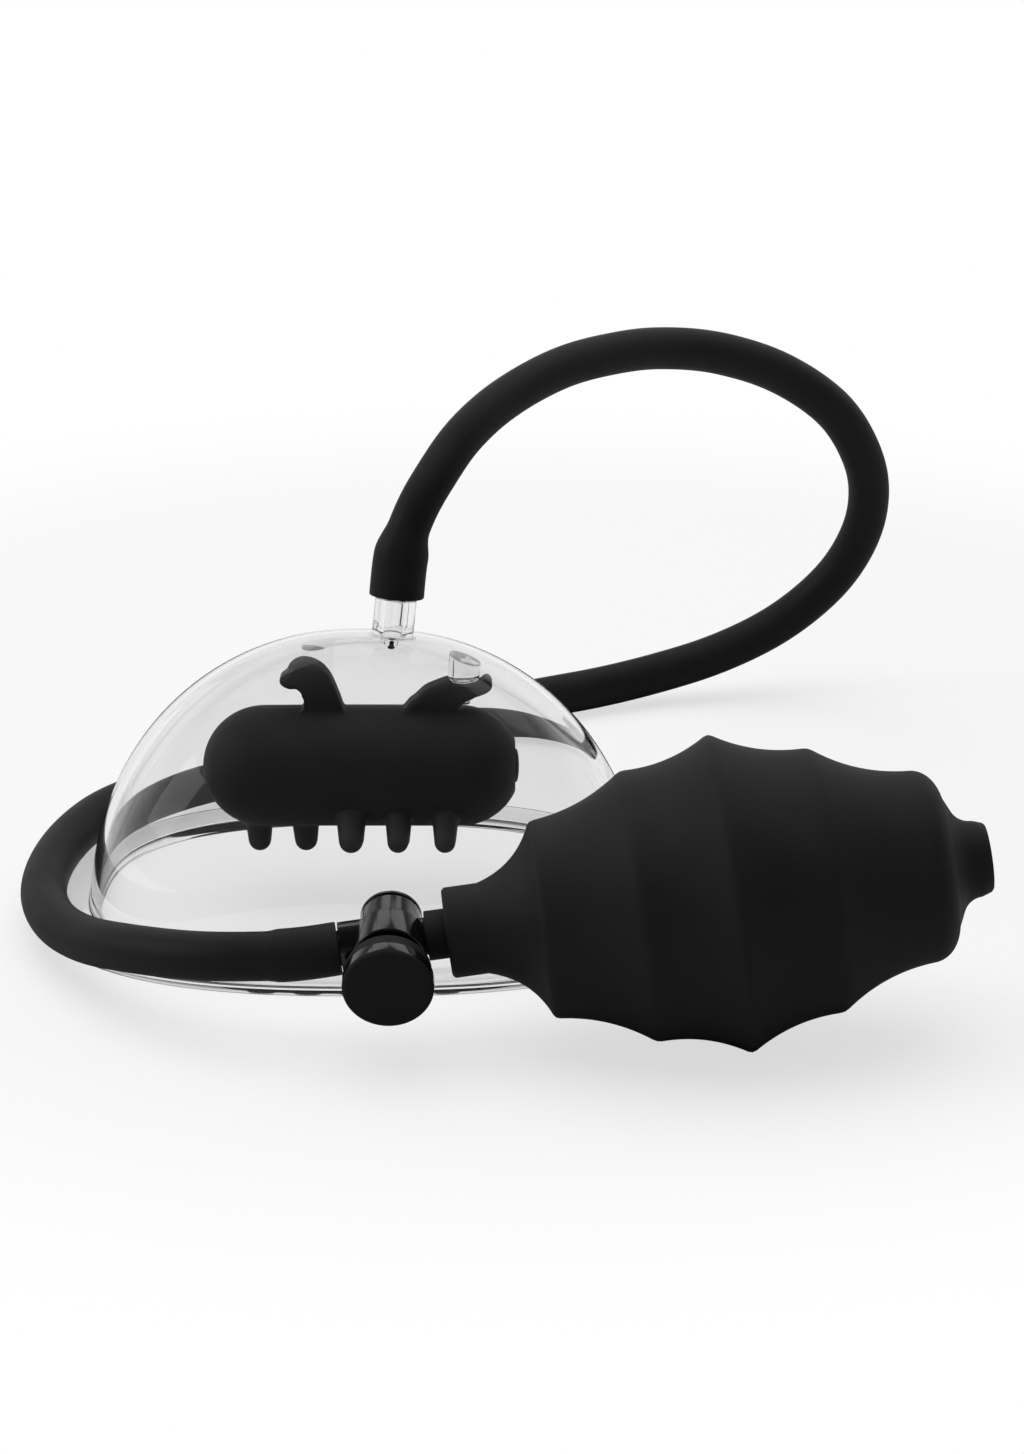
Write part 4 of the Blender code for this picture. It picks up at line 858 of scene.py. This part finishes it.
BARB_STARTS = (11.5 * MM, 13.6 * MM, 15.7 * MM)
VALVE_BORE = 2.1 * MM
CUT_PAST = 1.0 * MM


def turned_piece(name, profile, at, cuts=0.0, sides=96, wrap_rows=False):
    """An object turned from a profile, whose corners are rounded first where cuts are given."""
    if np.any(cuts):
        profile = rounded(profile, cuts)
    return linked(name, mesh_of(name, turned(profile, at, sides), wrap_rows))


def valve_body():
    """The barrel, joined with the branch that crosses it, and bored along both axes."""
    edge = 0.5 * MM
    barrel = [(BARREL_REAR, 0.0), (BARREL_REAR, BARREL_RADIUS), (BAND[0], BARREL_RADIUS)]
    barrel += [(BAND[0], BAND_RADIUS), (BAND[1], BAND_RADIUS), (BAND[1], BARREL_RADIUS)]
    barrel += [(BARREL_FRONT, BARREL_RADIUS), (BARREL_FRONT, 0.0)]
    body = turned_piece("valve_moulding", barrel, BARREL, (edge, 0.2 * MM, edge, edge, 0.2 * MM, 0.3 * MM))
    tip = -COLLAR_END - HOSE_SPIGOT_LENGTH
    branch = [(tip, 0.0), (tip, HOSE_SPIGOT_RADIUS), (-COLLAR_END, HOSE_SPIGOT_RADIUS)]
    branch += [(-COLLAR_END, COLLAR_RADIUS), (-COLLAR_START, COLLAR_RADIUS), (-COLLAR_START, STEM_OUTSIDE)]
    branch += [(PLUG_START, STEM_OUTSIDE), (PLUG_START, PLUG_RADIUS)]
    for start in BARB_STARTS:
        crest, end = start + BARB_RISE, start + BARB_LENGTH
        branch += [(start, PLUG_RADIUS), (crest, PLUG_RADIUS + BARB_HEIGHT), (end, PLUG_RADIUS)]
    branch += [(PLUG_END, PLUG_RADIUS), (PLUG_END, 0.0)]
    cut_or_join(body, turned_piece("branch", branch, PUMP, 0.2 * MM), "UNION")
    bore = [(BARREL_REAR - CUT_PAST, 0.0), (BARREL_REAR - CUT_PAST, BARREL_BORE), (WEB[0], BARREL_BORE)]
    bore += [(WEB[0], STEM_GUIDE), (WEB[1], STEM_GUIDE), (WEB[1], BARREL_BORE)]
    bore += [(BARREL_FRONT + CUT_PAST, BARREL_BORE), (BARREL_FRONT + CUT_PAST, 0.0)]
    cut_or_join(body, turned_piece("bore", bore, BARREL), "DIFFERENCE")
    cross = [(tip - CUT_PAST, 0.0), (tip - CUT_PAST, VALVE_BORE)]
    cross += [(PLUG_END + CUT_PAST, VALVE_BORE), (PLUG_END + CUT_PAST, 0.0)]
    cut_or_join(body, turned_piece("cross_bore", cross, PUMP, sides=64), "DIFFERENCE")
    body.data.shade_smooth()
    body.data.set_sharp_from_angle(angle=math.radians(35))
    return body


valve = finished(valve_body(), "pump", abs_gloss, "glossy_plastic", "valve_body")


def on_plug(points):
    """The barbed plug on the bulb's side, past the barrel. It was left as it came from a blasted mould."""
    return (points - PUMP[0]) @ PUMP[1][0] > PLUG_START - 0.2 * MM


second_finish(valve, disc_abs, on_plug)

# %% [markdown]
# ## The release button
#
# A plug closes the barrel's rear, and a button caps its front. Pressed with a thumb, the button lets the
# air back into the cup. It has a polished rim, a matt face with a rounded edge, and a matt grip behind its
# head, all from one turned profile. The faces get their two finishes by how far along the barrel they lie.

# %% The rear plug and the release button
END_PLUG_THICKNESS = 0.9 * MM
END_PLUG_SPIGOT = 1.2 * MM
PUSH_SKIRT = 6.1 * MM  # inside
PUSH_SLEEVE = (9.2 * MM, 12.1 * MM, 7.7 * MM)  # start, end, radius of the grip behind the head
PUSH_HEAD_RADIUS = 8.2 * MM
PUSH_FACE_RADIUS = 7.25 * MM
PUSH_CEILING = 13.5 * MM
PUSH_FRONT = 15.3 * MM
PUSH_ROUNDING = 1.0 * MM


def end_plug():
    """A disc with a short spigot in the barrel's bore."""
    face = BARREL_REAR - SEAT_GAP
    back = face - END_PLUG_THICKNESS
    spigot = BARREL_BORE - SEAT_GAP
    profile = [(back, 0.0), (back, BARREL_RADIUS), (face, BARREL_RADIUS)]
    profile += [(face, spigot), (face + END_PLUG_SPIGOT, spigot), (face + END_PLUG_SPIGOT, 0.0)]
    return turned_piece("valve_rear_plug", profile, BARREL, (0.5 * MM, 0.15 * MM, 0.15 * MM, 0.2 * MM))


def push_button():
    """From the skirt's rear edge over the grip, the head and the face, then back through the hollow inside.
    Only the grip's corners are cut: the head's edge is a quarter of an ellipse."""
    start, end, grip = PUSH_SLEEVE
    edge_middle = (PUSH_FRONT - PUSH_ROUNDING, PUSH_FACE_RADIUS)
    edge = ellipse_part(edge_middle, (PUSH_ROUNDING, PUSH_HEAD_RADIUS - PUSH_FACE_RADIUS), 90, 0, 8)
    profile = [(start, PUSH_SKIRT), (start, grip), (end, grip), (end, PUSH_HEAD_RADIUS)]
    profile += [tuple(point) for point in edge]
    profile += [(PUSH_FRONT, PUSH_FACE_RADIUS - 0.3 * MM), (PUSH_FRONT, 0.0)]
    profile += [(PUSH_CEILING, 0.0), (PUSH_CEILING, PUSH_SKIRT)]
    cuts = [0.2 * MM] * 3 + [0.0001 * MM] * (len(profile) - 5)
    return turned_piece("push_button", profile, BARREL, cuts, 128, wrap_rows=True)


finished(end_plug(), "pump", abs_gloss, "glossy_plastic", "valve_end_plug")
button = finished(push_button(), "release", abs_gloss, "glossy_plastic", "release_button")


def on_button_texture(points):
    """The face with its rounding, and the grip behind the head."""
    along = (points - BARREL[0]) @ BARREL[1][0]
    return (along > PUSH_FRONT - 0.9 * PUSH_ROUNDING) | (along < PUSH_SLEEVE[1] + 0.02 * MM)


second_finish(button, disc_abs, on_button_texture)

# %% [markdown]
# The button's return spring lies between the barrel's web and the button. It has five turns of wire,
# carried along a helix.

# %% The release spring
SPRING_WIRE = 0.25 * MM  # radius
SPRING_TURNS = 5
SPRING_STEPS = 36  # in a turn
SPRING_SIDES = 10


def spring_grid():
    """A wire carried along a helix, (x, r cos a, r sin a) in the barrel's place, with a pole at each end."""
    turn = np.linspace(0, 2 * np.pi * SPRING_TURNS, SPRING_STEPS * SPRING_TURNS + 1)
    start, end = WEB[1] + SPRING_WIRE + SEAT_GAP, PUSH_CEILING - SPRING_WIRE - SEAT_GAP
    radius = BARREL_BORE - SPRING_WIRE - 2 * SEAT_GAP
    along = start + (end - start) * turn / turn[-1]
    helix = np.stack([along, radius * np.cos(turn), radius * np.sin(turn)], axis=1)
    line = BARREL[0] + helix @ BARREL[1]
    wire = carried(line, np.full(len(line), SPRING_WIRE), SPRING_SIDES)
    ends = [np.repeat(line[at][None, None], SPRING_SIDES, axis=1) for at in (0, -1)]
    return np.concatenate([ends[0], wire, ends[1]])


spring = linked("release_spring_coil", mesh_of("release_spring_coil", spring_grid(), sharp=60))
finished(spring, "pump", steel, "steel", "release_spring")
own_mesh(spring)

# %% [markdown]
# ## The massage pod
#
# A soft silicone capsule with a small vibrator inside. Two ears on its top hang on the pegs. Five short
# nubs point down in a row, and three more lean forward over them. The capsule is turned, the nubs are
# turned fingers, and the ears are plates with round edges. All are merged on a fine grid and softened, as
# silicone leaves its mould without a sharp corner.

# %% The pod's sleeve
POD = place(np.array(JOINTS["motor_spin"]["pos_m"]), (1, 0, 0))
SLEEVE_RADIUS = 11.9 * MM
SLEEVE_HALF_LENGTH = 31.2 * MM
SLEEVE_HOLE = 4.6 * MM
CASE_RADIUS = 8.4 * MM
CASE_NOSE = -28.2 * MM
CASE_END = 27.5 * MM
CAP_SHOULDER = 7.5 * MM
CAP_SLOPE = 1.27
EAR_THICKNESS = 6.0 * MM
EAR_ROUNDING = 1.2 * MM
EAR_SEATS = {"left": 8.6 * MM, "right": 5.4 * MM}  # height of the flat under the peg over the capsule
EAR_OUTLINES = {  # (x, z) in mm, from the flat under the peg's middle
    "left": (
        (4.8, -10.6), (4.5, -7.6), (3.4, -4.4), (2.4, -2.1), (1.4, -0.7), (0.3, 0.3), (-1.0, 1.0),
        (-2.2, 1.3), (-3.4, 1.3), (-4.7, 0.8), (-5.7, 0.0), (-6.2, -1.1), (-7.2, -1.7), (-7.6, -2.6),
        (-7.2, -3.5), (-5.8, -4.2), (-3.9, -4.3), (-3.1, -5.6), (-2.9, -7.4), (-3.4, -10.6),
    ),
    "right": (
        (-12.0, -7.4), (-10.8, -4.2), (-9.4, -3.0), (-7.5, -1.2), (-5.1, -0.1), (-2.9, 0.7), (-2.1, 0.6),
        (-1.6, 0.0), (3.0, 0.0), (3.7, 0.6), (4.7, 0.6), (5.4, -0.2), (5.5, -1.0), (4.7, -1.8),
        (3.4, -2.4), (1.3, -3.0), (0.1, -3.7), (-0.9, -4.9), (-1.5, -7.4),
    ),
}  # fmt: skip
NUB_PITCH = 9.2 * MM
NUB_FIRST = -20.6 * MM
NUB_REACH = 7.4 * MM
NUB_FOOT = ((-2.0, 1.7), (-0.5, 1.4), (0.9, 1.2))  # mm over the capsule, and width in tip radii
NUBS = (  # place in the row, counted in pitches; radius at the tip, in mm; degrees from straight down
    (0.0, 2.3, -10.0),
    (1.0, 2.3, -10.0),
    (2.0, 2.3, -10.0),
    (3.0, 2.2, -10.0),
    (4.0, 2.2, -10.0),
    (2.04, 2.4, 50.0),
    (3.03, 2.1, 50.0),
    (4.02, 2.1, 50.0),
)
SLEEVE_VOXEL = 0.38 * MM


def case_profile(grow):
    """Outside of the vibrator: a round nose, a straight run and a shoulder, grown all round."""
    radius = CASE_RADIUS + grow
    nose = ellipse_part((CASE_NOSE + CASE_RADIUS, 0.0), (radius, radius), 180, 90, 16)
    last = 90 - math.degrees(math.asin(1 / CAP_SLOPE))
    shoulder = ellipse_part((CASE_END - CAP_SHOULDER, 0.0), (CAP_SLOPE * CAP_SHOULDER, radius), 90, last, 10)
    return np.vstack([nose, shoulder])


def capsule():
    """The sleeve's wall: round ends, a hole for the button, and the hollow that holds the vibrator."""
    straight = SLEEVE_HALF_LENGTH - SLEEVE_RADIUS
    radii = (SLEEVE_RADIUS, SLEEVE_RADIUS)
    last = math.degrees(math.asin(SLEEVE_HOLE / SLEEVE_RADIUS))
    outside = [ellipse_part((-straight, 0.0), radii, 180, 90, 24)]
    outside += [ellipse_part((straight, 0.0), radii, 90, last, 20)]
    inside = case_profile(SEAT_GAP)[::-1]
    inside[0, 0] = CASE_END + SEAT_GAP
    hole = np.array([[CASE_END + SEAT_GAP, SLEEVE_HOLE]])
    profile = np.vstack(outside + [hole, inside])
    profile[0, 1] = profile[-1, 1] = 0.0
    return linked("pod", mesh_of("pod", turned(profile, POD, 96)))


def nub(pitches, radius, degrees):
    """A finger with a round end, which widens towards a foot that flares into the capsule."""
    radius = radius * MM
    tip = SLEEVE_RADIUS + NUB_REACH
    foot = [(SLEEVE_RADIUS + height * MM, width * radius) for height, width in NUB_FOOT]
    end = ellipse_part((tip - radius, 0.0), (radius, radius), 90, 0, 10)
    profile = np.vstack([(foot[0][0], 0.0), foot, end])
    profile[-1, 1] = 0.0
    lean = math.radians(degrees)
    origin = POD[0] + np.array([NUB_FIRST + pitches * NUB_PITCH, 0.0, 0.0])
    down = (0.0, -math.sin(lean), -math.cos(lean))
    return linked("nub", mesh_of("nub", turned(profile, place(origin, down, up=(1, 0, 0)), 32)))


def ear(side):
    """A plate in XZ, of thickness 2h, with an edge rounded by r: at each angle a the outline has moved in by
    r (1 - cos a), and lies h - r + r sin a from the plate's middle plane."""
    low, high = (np.array(corner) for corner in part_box(f"hanger_peg_{side}"))
    middle = (low + high) / 2
    corners = np.array(EAR_OUTLINES[side]) * MM
    around = curve_through(np.vstack([corners[-1:], corners, corners[:2]]), 8)
    # The end runs back to the last corner, inside the capsule. This fills the bend under the hook a little.
    outline = np.vstack([around[:-1], corners[-1:]])
    ahead = np.roll(outline, -1, 0) - np.roll(outline, 1, 0)
    inward = np.stack([ahead[:, 1], -ahead[:, 0]], axis=1) / np.linalg.norm(ahead, axis=1)[:, None]
    area = np.sum(outline[:, 0] * np.roll(outline[:, 1], -1) - np.roll(outline[:, 0], -1) * outline[:, 1])
    inward *= -np.sign(area)
    turn = np.linspace(np.pi / 2, 0, 6)
    depth = EAR_ROUNDING * (1 - np.cos(turn))
    across = EAR_THICKNESS / 2 - EAR_ROUNDING + EAR_ROUNDING * np.sin(turn)
    depth = np.concatenate([depth, depth[::-1]])[:, None, None]
    across = np.concatenate([across, -across[::-1]])[:, None]
    x, z = np.moveaxis(outline + inward * depth, -1, 0)
    y = np.broadcast_to(across, x.shape)
    seat = POD[0][2] + SLEEVE_RADIUS + EAR_SEATS[side]
    grid = np.stack([middle[0] + x, middle[1] + y, seat + z], axis=-1)
    return linked("ear", mesh_of("ear", grid, capped=True))


def merged(name, parts, voxel, soften):
    """One skin round overlapping parts: they are remeshed together on a fine grid, and then smoothed."""
    bm = bmesh.new()
    for part in parts:
        bm.from_mesh(part.data)
        bpy.data.objects.remove(part)
    mesh = bpy.data.meshes.new(name)
    bm.to_mesh(mesh)
    bm.free()
    piece = linked(name, mesh)
    remesh = piece.modifiers.new("remesh", "REMESH")
    remesh.mode = "VOXEL"
    remesh.voxel_size = voxel
    smooth = piece.modifiers.new("smooth", "SMOOTH")
    smooth.factor = 0.5
    smooth.iterations = soften
    apply_modifiers(piece)
    piece.data.shade_smooth()
    return piece


# %% [markdown]
# The pod is switched with a small soft button, which sits in the hole at its right-hand end. The capsule,
# the nubs and the ears become one skin, and the faces that stand out below it get the nubs' lighter grey,
# a painted highlight for the light that they catch from the front and from the table.

# %% The pod's button and skin
POD_BUTTON_RADIUS = 3.3 * MM
POD_BUTTON_FLANGE = (4.3 * MM, 0.8 * MM)  # radius, thickness
POD_BUTTON_DOME = 0.6 * MM


def pod_button():
    """A soft button through the cap's hole: a flange that can't slip out, a stem and a low domed top."""
    low, high = (corner[0] - POD[0][0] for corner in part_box("pod_button"))
    flange, thickness = POD_BUTTON_FLANGE
    profile = [(low, 0.0), (low, flange), (low + thickness, flange), (low + thickness, POD_BUTTON_RADIUS)]
    top = ellipse_part((high - POD_BUTTON_DOME, 0.0), (POD_BUTTON_DOME, POD_BUTTON_RADIUS), 90, 0, 10)
    top[-1, 1] = 0.0
    body = rounded(np.vstack([profile, top[:1]]), (0.2 * MM, 0.2 * MM, 0.1 * MM))
    return turned_piece("pod_push_button", np.vstack([body, top[1:]]), POD, sides=64)


finished(pod_button(), "pod_switch", pod_silicone, "black_silicone", "pod_button")

parts = [capsule()] + [nub(*row) for row in NUBS] + [ear(side) for side in EAR_OUTLINES]
sleeve = merged("silicone_pod", parts, SLEEVE_VOXEL, 6)
finished(sleeve, "pump", pod_silicone, "black_silicone", "pod_sleeve")


def on_nubs(points):
    """Below the capsule, and further from its axis than its own skin."""
    across = points[:, 1:] - POD[0][1:]
    return (np.linalg.norm(across, axis=1) > SLEEVE_RADIUS + 0.25 * MM) & (across[:, 1] < 0)


# painted highlight: the nubs get a lighter grey than the rest of the pod
second_finish(sleeve, nub_silicone_painted_light, on_nubs)

# %% [markdown]
# ## The pieces inside
#
# What the sleeve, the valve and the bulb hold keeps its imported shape, and only gets its finish.

# %% Finishes for the inner pieces
INNER_FINISHES = (
    (satin_abs, "vibrator_case vibrator_cap inner_frame release_stem"),
    (satin_abs, "intake_cage exhaust_housing exhaust_retainer"),
    (flap_silicone, "stem_seal intake_disc exhaust_disc"),
    (board, "switch_board"),
    (brass, "eccentric_weight"),
    (steel, "motor_can motor_shaft tact_switch contact_spring button_cell_1 button_cell_2 button_cell_3"),
)
for finish, names in INNER_FINISHES:
    for node in names.split():
        frame["nodes"][node].data.materials.clear()
        frame["nodes"][node].data.materials.append(finish)
    print(f"{finish.name}: {names}")

# %% [markdown]
# ## Floor and light
#
# The object lies on a white table, which the eye sees as nearly white, with the object's soft shadow on it.
# A real board would throw so much light back that the black undersides turned grey, so for all light but
# what is seen directly the board is a mid grey. It fades into plain white round the object.

# %% Floor
FLOOR_SIZE = 6.0
FLOOR_LIFT = 0.68  # share of plain white that the eye sees in the shadows
FLOOR_BOUNCE = "#b0b0b0"  # the board as the lamps find it, so that it doesn't fill the object's undersides
FLOOR_MIDDLE = (0.0, 0.12, 0.0)
FLOOR_FADE = (0.17, 0.28)  # from that middle, where the board turns into plain white


def seen_directly(tree):
    """1 for what the camera sees straight or through the clear cup, and 0 for all other light."""
    ray = add(tree, "ShaderNodeLightPath").outputs
    either = {0: ray["Is Camera Ray"], 1: ray["Is Transmission Ray"]}
    return add(tree, "ShaderNodeMath", either, operation="MAXIMUM").outputs["Value"]


def floor_finish():
    """Matt white board. For the eye it is lifted towards white, and fades into white further out."""
    made, tree, where, shader = new_finish("matt_white_board")
    seen = seen_directly(tree)
    tint = {"Factor": drift(tree, where, 2.0, 3.0, 0.0, 1.0), "A": linear("#d6d6d6"), "B": linear("#dadada")}
    tint = add(tree, "ShaderNodeMix", tint, data_type="RGBA").outputs["Result"]
    colour = {"Factor": seen, "A": linear(FLOOR_BOUNCE), "B": tint}
    colour = add(tree, "ShaderNodeMix", colour, data_type="RGBA").outputs["Result"]
    feed(tree, shader, {"Base Color": colour, "Roughness": 0.9, "Specular IOR Level": 0.1})
    away = add(tree, "ShaderNodeVectorMath", {0: where, 1: FLOOR_MIDDLE}, operation="DISTANCE")
    fade = {"Value": away.outputs["Value"], "From Min": FLOOR_FADE[0], "From Max": FLOOR_FADE[1]}
    fade |= {"To Min": FLOOR_LIFT, "To Max": 1.0}
    fade = add(tree, "ShaderNodeMapRange", fade, interpolation_type="SMOOTHSTEP").outputs["Result"]
    share = add(tree, "ShaderNodeMath", {0: fade, 1: seen}, operation="MULTIPLY").outputs["Value"]
    white = add(tree, "ShaderNodeEmission", {"Color": linear("#ffffff"), "Strength": 1.0}).outputs["Emission"]
    lifted = add(tree, "ShaderNodeMixShader", {0: share, 1: shader.outputs["BSDF"], 2: white})
    feed(tree, tree.nodes["Material Output"], {"Surface": lifted.outputs["Shader"]})
    return made


def floor_mesh():
    """A flat grid of four squares, a hair under the object."""
    side = np.linspace(-FLOOR_SIZE / 2, FLOOR_SIZE / 2, 3)
    x, y = np.meshgrid(side, side, indexing="ij")
    points = np.stack([x, y, np.full_like(x, -0.1 * MM)], axis=-1).reshape(-1, 3)
    index = np.arange(9).reshape(3, 3)
    faces = np.stack([index[:-1, :-1], index[1:, :-1], index[1:, 1:], index[:-1, 1:]], axis=-1).reshape(-1, 4)
    mesh = bpy.data.meshes.new("table")
    mesh.from_pydata(points, [], faces.tolist())
    return mesh


table = linked("table", floor_mesh())
table.data.materials.append(floor_finish())

# %% [markdown]
# The room is bright behind the object and dark in front of it, as where a backdrop stands behind the table
# and the photographer's side is dim. Three softboxes hang behind and above, and a fourth stands to the
# left: they draw the soft lights along the hose, the valve and the bulb. A wide panel right above only
# lights matt surfaces, so that the clear cup doesn't mirror it over the pod. No lamp is seen through the
# cup.

# %% World and lamps
BACKDROP = 0.85
FRONT_SIDE = 0.14
OVERHEAD = 0.2  # of the backdrop
BEHIND = (-0.15, 0.65)  # the Y of a direction, from where the front ends to where the backdrop starts
ABOVE = (0.20, 0.50)  # the Z of a direction, from where the sides end to where the ceiling starts

world = bpy.data.worlds.new("studio")
world.use_nodes = True
bpy.context.scene.world = world
tree = world.node_tree
tree.nodes.clear()
toward = add(tree, "ShaderNodeTexCoord").outputs["Generated"]
toward = add(tree, "ShaderNodeSeparateXYZ", {"Vector": toward}).outputs
behind = {"Value": toward["Y"], "From Min": BEHIND[0], "From Max": BEHIND[1]}
behind |= {"To Min": FRONT_SIDE, "To Max": BACKDROP}
behind = add(tree, "ShaderNodeMapRange", behind, interpolation_type="SMOOTHSTEP").outputs["Result"]
above = {"Value": toward["Z"], "From Min": ABOVE[0], "From Max": ABOVE[1], "To Min": 1.0, "To Max": OVERHEAD}
above = add(tree, "ShaderNodeMapRange", above, interpolation_type="SMOOTHSTEP").outputs["Result"]
strength = add(tree, "ShaderNodeMath", {0: behind, 1: above}, operation="MULTIPLY").outputs["Value"]
ray = add(tree, "ShaderNodeLightPath").outputs
room = add(tree, "ShaderNodeBackground", {"Color": linear("#ffffff"), "Strength": strength})
white = add(tree, "ShaderNodeBackground", {"Color": linear("#ffffff"), "Strength": 1.0})
sky = {0: ray["Is Camera Ray"], 1: room.outputs["Background"], 2: white.outputs["Background"]}
add(tree, "ShaderNodeOutputWorld", {"Surface": add(tree, "ShaderNodeMixShader", sky).outputs["Shader"]})
print(f"the room is {BACKDROP} bright behind, {FRONT_SIDE} in front and {BACKDROP * OVERHEAD:.2f} above")

LAMP_TARGET = Vector((0.0, 0.03, 0.03))


def softbox(name, direction, distance, size, radiance):
    """A rectangular lamp that faces the object. An area lamp's radiance is power / (4 area)."""
    data = bpy.data.lights.new(name, "AREA")
    data.shape = "RECTANGLE"
    data.size, data.size_y = size
    data.energy = radiance * 4 * size[0] * size[1]
    lamp = bpy.data.objects.new(name, data)
    lamp.location = LAMP_TARGET + Vector(direction).normalized() * distance
    lamp.rotation_euler = (LAMP_TARGET - lamp.location).to_track_quat("-Z", "Y").to_euler()
    bpy.context.scene.collection.objects.link(lamp)
    return lamp


lamps = (
    softbox("left_softbox", (-0.30, 0.95, 0.96), 1.1, (0.40, 0.34), 0.85),
    softbox("far_left_softbox", (-0.67, 0.74, 0.93), 1.1, (0.31, 0.34), 0.85),
    softbox("right_softbox", (0.54, 0.84, 0.96), 1.1, (0.95, 0.34), 0.85),
    softbox("side_softbox", (-1.0, -0.10, 0.45), 1.2, (0.50, 0.50), 2.5),
    softbox("overhead_panel", (-0.1, 0.05, 1.0), 1.3, (1.7, 1.7), 2.0),
)
for lamp in lamps:
    lamp.visible_transmission = False
lamps[-1].visible_glossy = False
